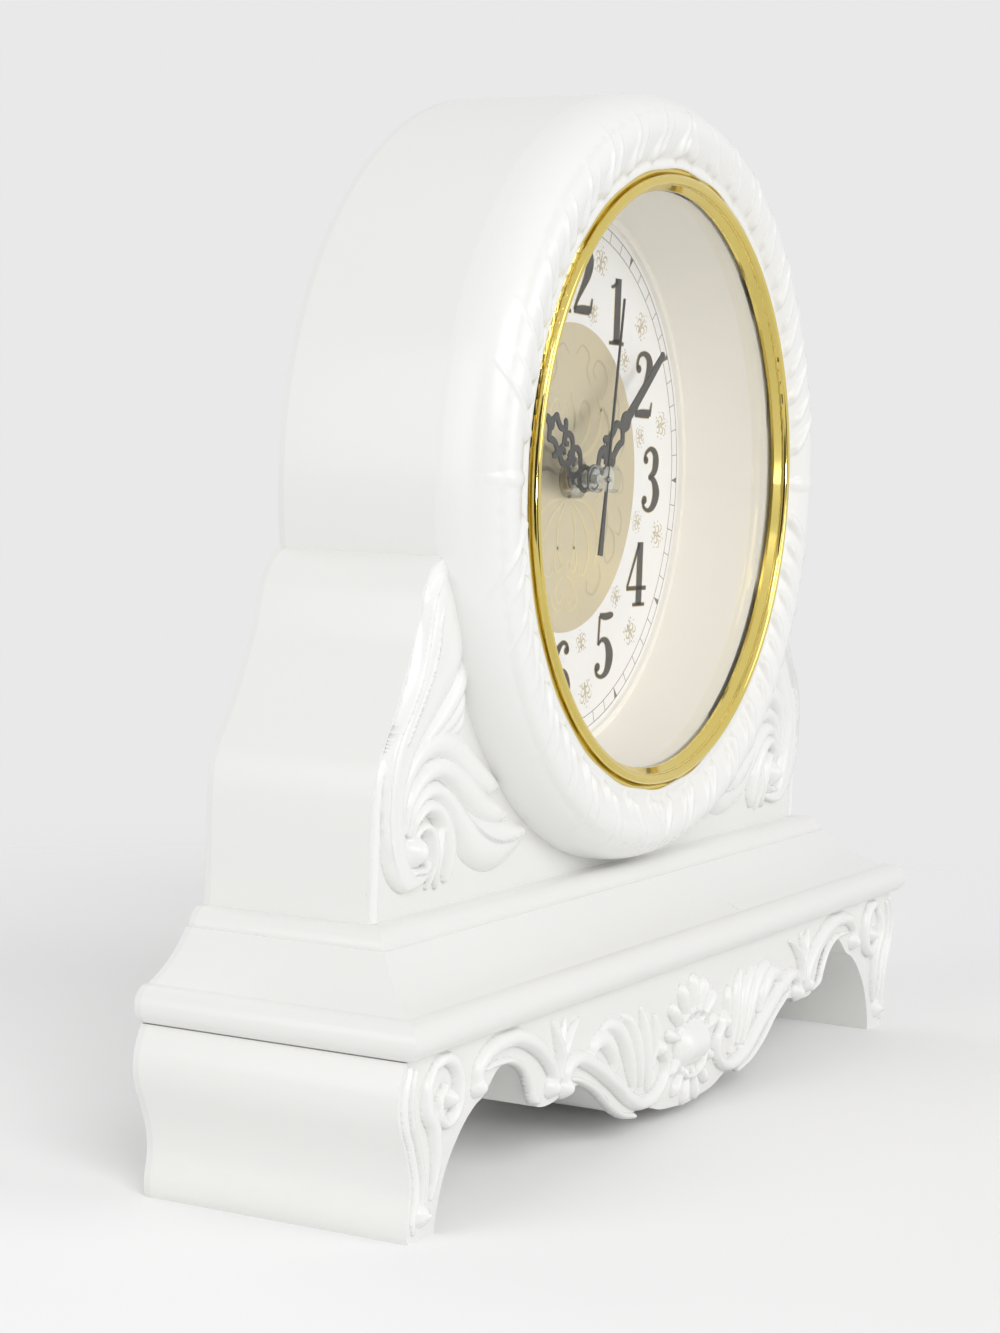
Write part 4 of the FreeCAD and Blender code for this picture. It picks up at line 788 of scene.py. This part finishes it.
def plinth_levels():
    """Top of the plinth and height from there to the middle of the dial."""
    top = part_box("plinth")[1].z
    return top, dial_centre_z() - top


def carve_sides(name, table, front_y, floor_z, unit, border_shares, carving):
    """Carves a table of strokes on the right and, mirrored, on the left."""
    inner_share, outer_share, top_share = border_shares
    for side, word in ((1, "right"), (-1, "left")):
        strokes = scaled_strokes(table, side, unit, floor_z)
        inner, outer = inner_share * unit * side, outer_share * unit * side
        low = (min(inner, outer), floor_z)
        high = (max(inner, outer), floor_z + top_share * unit)
        piece = carved_sheet(low, high, front_y, strokes, carving)
        node = name + "_ornament_" + word
        finish_piece(piece, name + "_carving_" + word, "case", "white_gloss", [node])


class CLOCK_OT_shoulder_ornament(bpy.types.Operator):
    """Carve the scrolls and plumes on both shoulders"""
    bl_idname = "clock.shoulder_ornament"
    bl_label = "Shoulder ornament"

    def execute(self, context):
        floor_z, rise = plinth_levels()
        front_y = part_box("shoulder_ornament_right")[1].y
        border_shares = (shoulder_inner_share, shoulder_outer_share, shoulder_top_share)
        carve_sides("shoulder", shoulder_strokes, front_y, floor_z, rise, border_shares,
                    context.scene.clock_carving)
        return {"FINISHED"}


class CLOCK_OT_apron_ornament(bpy.types.Operator):
    """Carve the scrolls, leaves and fan on the apron"""
    bl_idname = "clock.apron_ornament"
    bl_label = "Apron ornament"

    def execute(self, context):
        carving = context.scene.clock_carving
        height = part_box("base_frame")[1].z
        front_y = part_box("apron_ornament")[1].y
        strokes = scaled_strokes(apron_middle_strokes, 1, height, 0)
        for side in (1, -1):
            strokes += scaled_strokes(apron_strokes, side, height, 0)
        reach, top = apron_reach_share * height, base_top_share * height
        piece = carved_sheet((-reach, 0), (reach, top), front_y, strokes, carving)
        finish_piece(piece, "apron_carving", "case", "white_gloss", ["apron_ornament"])
        return {"FINISHED"}


class CLOCK_OT_foot_ornament(bpy.types.Operator):
    """Carve the beads and the scroll on both feet"""
    bl_idname = "clock.foot_ornament"
    bl_label = "Foot ornament"

    def execute(self, context):
        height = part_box("base_frame")[1].z
        front_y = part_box("apron_ornament")[1].y
        border_shares = (foot_inner_share, foot_outer_share, base_top_share)
        carve_sides("foot", foot_strokes, front_y, 0, height, border_shares, context.scene.clock_carving)
        return {"FINISHED"}


# Wreath on the rounded rim


def rim_line(outer, tail):
    """Rim's section from the gold ring's edge over its crest to the drum's side, with its normals."""
    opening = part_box("bezel")[1].x
    crest_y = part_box("case_shell")[0].y
    wide, deep = rim_crest_share * outer, rim_round_share * outer
    turn = np.radians(np.linspace(rim_turn, 0, rim_turn_points))
    bend = np.stack([outer - wide + wide * np.cos(turn), crest_y + deep - deep * np.sin(turn)], 1)
    start = np.array((opening, crest_y + rim_edge_share * outer))
    run = bend[0] - start
    share = np.linspace(0, 1, rim_bow_points, endpoint=False)[:, None]
    bow = 4 * rim_bow_share * share * (1 - share) * np.array((run[1], -run[0]))
    line = np.vstack([start + share * run + bow, bend, bend[-1:] + np.array(((0, tail),))])
    step = np.gradient(line, axis=0)
    step /= np.linalg.norm(step, axis=1, keepdims=True)
    return line, np.stack([step[:, 1], -step[:, 0]], 1)


def rim_marks(line):
    """Lengths from the start of the rim's section to each of its points."""
    return np.concatenate([[0], np.cumsum(np.linalg.norm(np.diff(line, axis=0), axis=1))])


def along_rim(line, normals, along):
    """Radius, level and both parts of the normal at lengths along the rim's section."""
    marks = rim_marks(line)
    return [np.interp(along, marks, values) for values in (*line.T, *normals.T)]


def wreath_strokes(middle, carving):
    """Crescent leaves that sweep in to the ring, their tips turned to the sides of the dial."""
    strokes = []
    quarter = middle * math.pi / 2
    relief = carving.leaf_relief
    for up in (1, -1):
        for index in range(leaf_count):
            start = quarter * (index + leaf_offset_share) / leaf_count
            group = leaf_group_shares[index % len(leaf_group_shares)]
            width = leaf_width_share + (1 - leaf_width_share) * group
            for rows in leaf_rows_shares:
                points = []
                for slip, out, half, top in rows:
                    along = start + up_slip(slip, index) * middle
                    points.append((up * along, out * rim_reach_share * middle * group,
                                   half * middle * width, top * relief * group))
                strokes.append((2.0, 0.0, points))
    for rows in spray_rows_shares:
        for up in (1, -1):
            strokes.append((2.0, 0.0, [(up * slip * middle, out * middle, half * middle, top * relief)
                                       for slip, out, half, top in rows]))
    return strokes


def up_slip(slip, index):
    """Slip of a leaf's row along the rim, less towards the top and the bottom of the dial."""
    return slip * (leaf_slant - leaf_slant_loss * index / leaf_count)


def wreath_heights(turn, along, middle, carving):
    """Heights of the wreath over angles from the sides of the dial and lengths along the section."""
    folded = np.abs((turn + math.pi / 2) % math.pi - math.pi / 2) * np.sign(np.sin(2 * turn) + 1e-12)
    return relief_heights(folded * middle, along, wreath_strokes(middle, carving), 0.0)


def ring_piece(sections):
    """Closed tube through sections round a ring, each a closed row of points."""
    shape = bmesh.new()
    rows = [[shape.verts.new(place) for place in section] for section in sections]
    for first, second in zip(rows, rows[1:] + rows[:1]):
        for index in range(len(first)):
            after = (index + 1) % len(first)
            shape.faces.new((first[index], second[index], second[after], first[after]))
    return flat_piece(shape)


def wreath_front(turn, along, outer, line, normals, carving):
    """Radius and level of the carved front of the rim, its wavy edge over the gold ring."""
    angle, path = np.meshgrid(turn, along, indexing="ij")
    middle = (outer + line[0, 0]) / 2
    tip = -along[0]
    heights = wreath_heights(angle, path, middle, carving)
    fade = np.clip((along[-1] - path) / (tail_fade_share * tail_share * outer), 0, 1)
    near = np.clip(1 - path / (2 * tip), 0, 1)
    edge = np.clip(-path / tip, 0, 1)
    lift = tip_rise_share * outer * near * near * (3 - 2 * near) * (1 - tip_drop_share * edge * edge)
    rise = heights + lift + skin_share * outer * (2 * fade - 1)
    wave = wave_base_share + (1 - wave_base_share) * np.cos(wave_count * angle)
    inside = np.minimum(path, 0) * wave
    place_r, place_y, out_r, out_y = along_rim(line, normals, np.maximum(path, 0))
    return place_r + out_r * rise + inside, place_y + out_y * rise


class CLOCK_OT_rim_wreath(bpy.types.Operator):
    """Carve the wreath of leaves round the rim"""
    bl_idname = "clock.rim_wreath"
    bl_label = "Rim wreath"

    def execute(self, context):
        carving = context.scene.clock_carving
        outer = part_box("rear_cover")[1].z - dial_centre_z()
        line, normals = rim_line(outer, tail_share * outer)
        turn = np.linspace(0, 2 * math.pi, wreath_columns, endpoint=False)
        along = np.linspace(-tip_share * outer, rim_marks(line)[-1], wreath_rows)
        radius, level = wreath_front(turn, along, outer, line, normals, carving)
        back = np.linspace(along[-1], 0, wreath_back_rows)
        back_r, back_y, out_r, out_y = along_rim(line, normals, back)
        under = under_share * outer
        radius = np.hstack([radius, np.tile(back_r - out_r * under, (wreath_columns, 1))])
        level = np.hstack([level, np.tile(back_y - out_y * under, (wreath_columns, 1))])
        full = np.tile(turn[:, None], (1, wreath_rows + wreath_back_rows))
        points = np.stack([radius * np.cos(full), level, dial_centre_z() + radius * np.sin(full)], 2)
        piece = ring_piece(points.tolist())
        shade_smooth(piece)
        finish_piece(piece, "rim_carving", "case", "white_gloss", ["rim_wreath"])
        return {"FINISHED"}


# Flat strokes: print on the dial, and the hands


def add_strip(shape, rows, place, levels):
    """Adds a flat closed strip along rows of place across, place up and half width, between two levels."""
    line = smooth_line(rows, strip_samples)
    run = np.gradient(line[:, :2], axis=0)
    run /= np.maximum(np.linalg.norm(run, axis=1, keepdims=True), 1e-9)
    side = np.stack([-run[:, 1], run[:, 0]], 1) * line[:, 2:3]
    corners = []
    for centre, reach in zip(line[:, :2], side):
        left, right = place(*(centre + reach)), place(*(centre - reach))
        corners.append([shape.verts.new((x, y, z)) for y in levels for x, z in (left, right)])
    for first, second in zip(corners[:-1], corners[1:]):
        for a, b in ((0, 1), (1, 3), (3, 2), (2, 0)):
            shape.faces.new((first[a], first[b], second[b], second[a]))
    for end in (corners[0], corners[-1]):
        shape.faces.new((end[0], end[1], end[3], end[2]))


def add_dot(shape, across, up, radius, place, levels):
    """Adds a flat round dot."""
    rings = []
    for y in levels:
        ring = []
        for index in range(dot_points):
            turn = 2 * math.pi * index / dot_points
            x, z = place(across + radius * math.cos(turn), up + radius * math.sin(turn))
            ring.append(shape.verts.new((x, y, z)))
        rings.append(ring)
    shape.faces.new(rings[0])
    shape.faces.new(rings[1])
    for index in range(dot_points):
        after = (index + 1) % dot_points
        shape.faces.new((rings[0][index], rings[0][after], rings[1][after], rings[1][index]))


def flat_piece(shape):
    """Makes an object of a bmesh, its normals outward."""
    bmesh.ops.recalc_face_normals(shape, faces=list(shape.faces))
    mesh = bpy.data.meshes.new("flat")
    shape.to_mesh(mesh)
    shape.free()
    piece = bpy.data.objects.new("flat", mesh)
    bpy.context.scene.collection.objects.link(piece)
    return piece


def dial_place(turn, radius, height, slope=0.0):
    """Places a drawing on the dial at an hour angle and a radius, turned by a slope."""
    centre_x, centre_z = radius * math.sin(turn), dial_centre_z() + radius * math.cos(turn)
    cos, sin = math.cos(slope), math.sin(slope)

    def place(across, up):
        across, up = across * height, up * height
        return centre_x + across * cos + up * sin, centre_z - across * sin + up * cos
    return place


def add_digit(shape, digit, shift, grow, place, levels):
    """Adds one digit, moved across and with its strokes grown by a share."""
    strokes, dots = digit_rows[digit]
    for rows in strokes:
        moved = [(x + shift, z - 0.5, digit_bold_share * half + grow) for x, z, half in full_rows(rows)]
        add_strip(shape, moved, place, levels)
    for x, z, radius in full_rows(dots):
        add_dot(shape, x + shift, z - 0.5, radius + grow, place, levels)


def upside_down(rows):
    """Rows of a digit, turned half round."""
    return [(1000 * digit_width_share - row[0], 1000 - row[1], *row[2:]) for row in rows]


# The nine is the six, upside down
digit_rows["9"] = ([upside_down(digit_rows["6"][0][0])], upside_down(digit_rows["6"][1]))


def number_piece(dial, grow, levels):
    """All twelve numbers as one print."""
    shape = bmesh.new()
    for hour in range(1, 13):
        turn = math.radians(hour_step * hour)
        upright = dial_place(turn, dial.number_radius, dial.number_height)

        def place(across, up):
            return upright(digit_stretch_share * across, up)
        widths = [odd_width_shares.get(digit, digit_width_share) for digit in str(hour)]
        start = -sum(widths) / 2
        for digit, width in zip(str(hour), widths):
            add_digit(shape, digit, start, grow, place, levels)
            start += width
    return flat_piece(shape)


def add_ring(shape, radius, half, levels):
    """Adds a thin printed circle."""
    turns = [math.radians(ring_step * index) for index in range(360 // ring_step + 1)]
    rows = [(radius * math.sin(turn), radius * math.cos(turn), half) for turn in turns]
    add_strip(shape, rows, dial_place(0, 0, 1), levels)


def add_mirrored(shape, table, place, levels, bold=1.0):
    """Adds each strip of a table and its mirror image, their half widths grown by a factor."""
    for rows in table:
        for side in (1, -1):
            strip = [(side * x, z, bold * half) for x, z, half in full_rows(rows)]
            add_strip(shape, strip, place, levels)


def track_piece(dial, levels):
    """Minute track: two circles, a tick at each minute and a wedge at each hour."""
    shape = bmesh.new()
    inner, width = dial.track_radius, dial.track_width
    for radius in (inner, inner + width):
        add_ring(shape, radius, track_line_share * width, levels)
    tick = [(0, up, track_line_share) for up in (0, 0.5, 1)]
    for minute in range(60):
        turn = math.radians(minute_step * minute)
        rows = tick if minute % 5 else wedge_shares
        add_strip(shape, rows, dial_place(turn, inner, width, turn), levels)
    return flat_piece(shape)


def margin_piece(dial, levels):
    """Printed margin outside the minute track."""
    shape = bmesh.new()
    half = margin_share * dial.track_radius
    add_ring(shape, margin_ring_share * dial.track_radius, half, levels)
    return flat_piece(shape)


def sprig_piece(dial, levels):
    """Small sprigs at the half hours, beside the track and beside the disc."""
    shape = bmesh.new()
    for hour in range(12):
        turn = math.radians(hour_step * (hour + 0.5))
        for radius_share, slope, height in ((sprig_outer_share, turn, 1.0),
                                            (sprig_inner_share, turn + math.pi, sprig_small_share)):
            place = dial_place(turn, radius_share * dial.track_radius, height * dial.number_height, slope)
            add_mirrored(shape, sprig_rows, place, levels)
            for x, z, radius in full_rows(sprig_dots):
                for side in (1, -1):
                    add_dot(shape, side * x, z, radius, place, levels)
    return flat_piece(shape)


def damask_piece(table, levels):
    """Damask scrolls on the disc, mirrored to both sides."""
    shape = bmesh.new()
    low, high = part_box("dial_centre_disc")
    add_mirrored(shape, table, dial_place(0, 0, (high.x - low.x) / 2), levels)
    return flat_piece(shape)


class CLOCK_OT_dial_print(bpy.types.Operator):
    """Print the numbers, the track, the sprigs and the damask on the dial"""
    bl_idname = "clock.dial_print"
    bl_label = "Dial print"

    def execute(self, context):
        dial = context.scene.clock_dial
        looks = context.scene.clock_finishes
        depth = dial.print_depth
        face_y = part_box("dial_plate")[0].y
        disc_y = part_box("dial_centre_disc")[0].y
        black = moulded("number_ink", looks.ink, 0.35, grain=1500.0, spread=0.3)
        edge = moulded("number_edge", (0.62, 0.48, 0.22, 1), 0.35, grain=1500.0, metallic=0.4)
        brown = moulded("sprig_ink", (0.58, 0.50, 0.34, 1), 0.5, grain=1500.0, spread=0.2)
        grey = moulded("track_ink", (0.16, 0.14, 0.11, 1), 0.5, grain=1500.0, spread=0.2)
        light = plating_finish("damask_light", (0.85, 0.76, 0.50, 1), 0.25)
        dark = moulded("damask_dark", (0.62, 0.55, 0.39, 1), 0.35, grain=1500.0, metallic=0.5)
        tan = moulded("dial_margin", (0.58, 0.52, 0.40, 1), 0.45, grain=1500.0)
        face = (face_y - depth, face_y)
        disc = (disc_y - depth, disc_y)
        prints = (
            ("number_edges", edge, number_piece(dial, digit_edge_share, face)),
            ("numbers", black, number_piece(dial, 0.0, (face_y - 2 * depth, face_y))),
            ("minute_track", grey, track_piece(dial, face)),
            ("sprigs", brown, sprig_piece(dial, face)),
            ("damask_light", light, damask_piece(damask_light_rows, disc)),
            ("damask_dark", dark, damask_piece(damask_dark_rows, disc)),
            ("dial_margin", tan, margin_piece(dial, face)),
        )
        for name, material, piece in prints:
            slot = "champagne" if name.startswith("damask") else "dial_white"
            finish_piece(piece, name, "case", slot, material=material)
        return {"FINISHED"}


def hand_piece(node, turn, length, table, dots):
    """Pierced hand of flat strokes, melted into one piece."""
    low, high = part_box(node)
    shape = bmesh.new()
    place = dial_place(0, 0, length, math.radians(turn))
    add_mirrored(shape, table, place, (low.y, high.y), hand_bold_share)
    for x, z, radius in full_rows(dots):
        add_dot(shape, x, z, hand_bold_share * radius, place, (low.y, high.y))
    piece = flat_piece(shape)
    apply_modifier(piece, "REMESH", mode="VOXEL", voxel_size=hand_voxel_share * length)
    apply_modifier(piece, "SMOOTH", factor=0.5, iterations=3)
    shade_smooth(piece)
    return piece


class CLOCK_OT_hands(bpy.types.Operator):
    """Cut the pierced hour and minute hands"""
    bl_idname = "clock.hands"
    bl_label = "Hands"

    def execute(self, context):
        minute = hand_piece("minute_hand", minute_hand_turn, minute_hand_length, minute_hand_rows,
                            minute_hand_dots)
        finish_piece(minute, "minute_hand_pierced", "minutes", "hand_black", ["minute_hand"])
        hour = hand_piece("hour_hand", hour_hand_turn, hour_hand_length, hour_hand_rows, hour_hand_dots)
        finish_piece(hour, "hour_hand_pierced", "hours", "hand_black", ["hour_hand"])
        return {"FINISHED"}


# Stage


# Soft lamps: place, size and share of the key lamp's power
lamp_rows = {
    "key": ((-1.6, -1.6, 1.45), 1.2, 1.0),
    "side": ((-2.2, 0.6, 0.9), 1.4, 0.46),
    "fill": ((0.5, -2.4, 1.0), 1.3, 0.69),
    "back": ((0.6, 2.2, 1.4), 1.5, 0.56),
}
lamp_target = (0, 0, 0.2)
fill_strength = 0.56

# Narrow lamp on the dial: place, angle of its cone, softness, and the pieces inside the ring that it lights
spot_place = (-1.0, -1.75, 0.14)
spot_angle = 6.4
spot_blend_share = 0.35
spot_radius = 0.25
dial_pieces = ("bezel", "glass", "glass_gasket", "recess_ring", "dial_plate", "dial_centre_disc",
               "dial_boss", "hour_spacer", "minute_collar", "second_cap", "second_hand",
               "number_edges", "numbers", "minute_track", "sprigs", "damask_light", "damask_dark",
               "dial_margin", "minute_hand_pierced", "hour_hand_pierced")

# Dark cards that the gold mirrors: place and size, and the point that they face
card_rows = (((-1.3, -0.78, 0.35), 1.3), ((-0.35, -1.8, 0.0), 0.7))
card_target = (0, 0, 0.25)

# Floor: its radius, the points of its edge, and where its fade into the background starts and ends
floor_radius = 1.0
floor_points = 96
fade_start = 0.35
fade_end = 0.9

# Camera of the photograph: its place, its three directions and the width of its sensor in millimetres
camera_place = (-996.19 * MM, -484.23 * MM, 257.68 * MM)
camera_right = (0.46853504, -0.88277955, 0.03428097)
camera_up = (0.05065016, 0.065582, 0.99656087)
camera_back = (-0.88199177, -0.46518735, 0.07544039)
sensor_width = 36.0


def add_lamp(name, data, place, target):
    """Puts a lamp at a place, facing a point."""
    made = bpy.data.objects.new(name, data)
    bpy.context.scene.collection.objects.link(made)
    made.location = place
    away = made.location - Vector(target)
    made.rotation_euler = away.to_track_quat("Z", "Y").to_euler()
    return made


def soft_lamp(name, key_power):
    """Soft square lamp that faces the clock."""
    place, size, share = lamp_rows[name]
    data = bpy.data.lights.new(name, "AREA")
    data.size = size
    data.energy = key_power * share
    add_lamp(name, data, place, lamp_target)


def dial_spot(power):
    """Narrow soft lamp that lights the pieces inside the ring and nothing else."""
    data = bpy.data.lights.new("dial_spot", "SPOT")
    data.energy = power
    data.spot_size = math.radians(spot_angle)
    data.spot_blend = spot_blend_share
    data.shadow_soft_size = spot_radius
    made = add_lamp("dial_spot", data, spot_place, (0, 0, dial_centre_z()))
    lit = bpy.data.collections.new("dial_spot_pieces")
    for name in dial_pieces:
        lit.objects.link(frame["nodes"].get(name) or bpy.data.objects[name])
    made.light_linking.receiver_collection = lit


def card(name, place, size):
    """Dark card that only mirrored rays see."""
    deselect()
    bpy.ops.mesh.primitive_plane_add(size=size)
    made = bpy.context.object
    made.name = name
    away = Vector(place) - Vector(card_target)
    turn = away.to_track_quat("Z", "Y").to_matrix().to_4x4()
    made.data.transform(Matrix.Translation(place) @ turn)
    for kind in ("camera", "diffuse", "transmission", "volume_scatter", "shadow"):
        setattr(made, "visible_" + kind, False)
    made.data.materials.append(moulded("card", (0.03, 0.025, 0.02, 1), 0.9))


def ray_share(start):
    """1 for rays that show the background: from the camera, off gloss or through glass."""
    path = start.node("ShaderNodeLightPath", {}, {}, "Is Camera Ray")
    outputs = path.socket.node.outputs
    glossy = Value(start.tree, outputs["Is Glossy Ray"])
    through = Value(start.tree, outputs["Is Transmission Ray"])
    return start.maths("MINIMUM", path + glossy + through, 1.0)


def set_world(scene, tone):
    """Pale background for what is seen and mirrored, and an even fill light for the rest."""
    world = bpy.data.worlds.new("studio")
    world.use_nodes = True
    world.node_tree.nodes.clear()
    start = Value(world.node_tree)
    seen = start.node("ShaderNodeBackground", {}, {"Color": tone, "Strength": 1.0})
    fill = start.node("ShaderNodeBackground", {}, {"Color": (1, 1, 1, 1), "Strength": fill_strength})
    both = start.node("ShaderNodeMixShader", {}, {0: ray_share(start), 1: fill, 2: seen})
    output = world.node_tree.nodes.new("ShaderNodeOutputWorld")
    world.node_tree.links.new(both.socket, output.inputs["Surface"])
    scene.world = world


def floor_finish(tone):
    """Pale floor that fades into the background away from the clock."""
    material, start = new_finish("floor")
    distance = start.node("ShaderNodeVectorMath", {"operation": "LENGTH"}, {0: object_place(start)},
                          "Value")
    fade = start.node("ShaderNodeMapRange", {"interpolation_type": "SMOOTHSTEP"}, {
        "Value": distance, "From Min": fade_start, "From Max": fade_end, "To Min": 1.0, "To Max": 0.0})
    plain = start.node("ShaderNodeBsdfDiffuse", {}, {"Color": tone, "Roughness": 0.5})
    clear = start.node("ShaderNodeBsdfTransparent", {}, {"Color": (1, 1, 1, 1)})
    shader = start.node("ShaderNodeMixShader", {}, {0: fade, 1: clear, 2: plain})
    return close_finish(material, shader)


def add_floor(tone):
    """Round floor under the clock."""
    deselect()
    bpy.ops.mesh.primitive_circle_add(vertices=floor_points, radius=floor_radius, fill_type="NGON",
                                      location=(0, 0, 0))
    floor = bpy.context.object
    floor.name = "floor"
    floor.data.materials.append(floor_finish(tone))


def add_camera(scene, lens):
    """Camera at the photograph's place and angle."""
    data = bpy.data.cameras.new("camera")
    data.lens = lens / MM
    data.sensor_width = sensor_width
    camera = bpy.data.objects.new("camera", data)
    scene.collection.objects.link(camera)
    turn = Matrix((camera_right, camera_up, camera_back)).transposed()
    camera.matrix_world = Matrix.Translation(camera_place) @ turn.to_4x4()
    scene.camera = camera


class CLOCK_OT_stage(bpy.types.Operator):
    """Set up the floor, the lamps, the background and the camera"""
    bl_idname = "clock.stage"
    bl_label = "Stage"

    def execute(self, context):
        scene = context.scene
        stage = scene.clock_stage
        scene.view_settings.view_transform = "Standard"
        set_world(scene, stage.back_tone)
        add_floor(stage.floor_tone)
        for name in ("key", "side", "fill"):
            soft_lamp(name, stage.key_power)
        dial_spot(stage.dial_power)
        for index, (place, size) in enumerate(card_rows):
            card("card_" + str(index), place, size)
        soft_lamp("back", stage.key_power)
        add_camera(scene, stage.lens)
        return {"FINISHED"}


class CLOCK_PT_panel(bpy.types.Panel):
    """The clock's pieces and settings in the sidebar."""
    bl_label = "Mantel clock"
    bl_idname = "CLOCK_PT_panel"
    bl_space_type = "VIEW_3D"
    bl_region_type = "UI"
    bl_category = "Clock"

    def draw(self, context):
        for name, group in GROUPS.items():
            box = self.layout.box()
            settings = getattr(context.scene, name)
            for key in group.__annotations__:
                box.prop(settings, key)
        for operator in OPERATORS:
            self.layout.operator(operator.bl_idname)


GROUPS = {
    "clock_finishes": ClockFinishes,
    "clock_carving": ClockCarving,
    "clock_dial": ClockDial,
    "clock_stage": ClockStage,
}
OPERATORS = (CLOCK_OT_finishes, CLOCK_OT_rim_wreath, CLOCK_OT_shoulder_ornament,
             CLOCK_OT_apron_ornament, CLOCK_OT_foot_ornament, CLOCK_OT_dial_print, CLOCK_OT_hands,
             CLOCK_OT_stage)


def register():
    """Adds the classes and their settings."""
    for kind in (*GROUPS.values(), *OPERATORS, CLOCK_PT_panel):
        bpy.utils.register_class(kind)
    for name, group in GROUPS.items():
        setattr(bpy.types.Scene, name, bpy.props.PointerProperty(type=group))


def unregister():
    """Takes the classes and their settings away."""
    for name in GROUPS:
        delattr(bpy.types.Scene, name)
    for kind in reversed((*GROUPS.values(), *OPERATORS, CLOCK_PT_panel)):
        bpy.utils.unregister_class(kind)


def main():
    """Dresses the clock, piece by piece."""
    register()
    for operator in OPERATORS:
        group, name = operator.bl_idname.split(".")
        getattr(getattr(bpy.ops, group), name)()


if __name__ == "__main__":
    main()
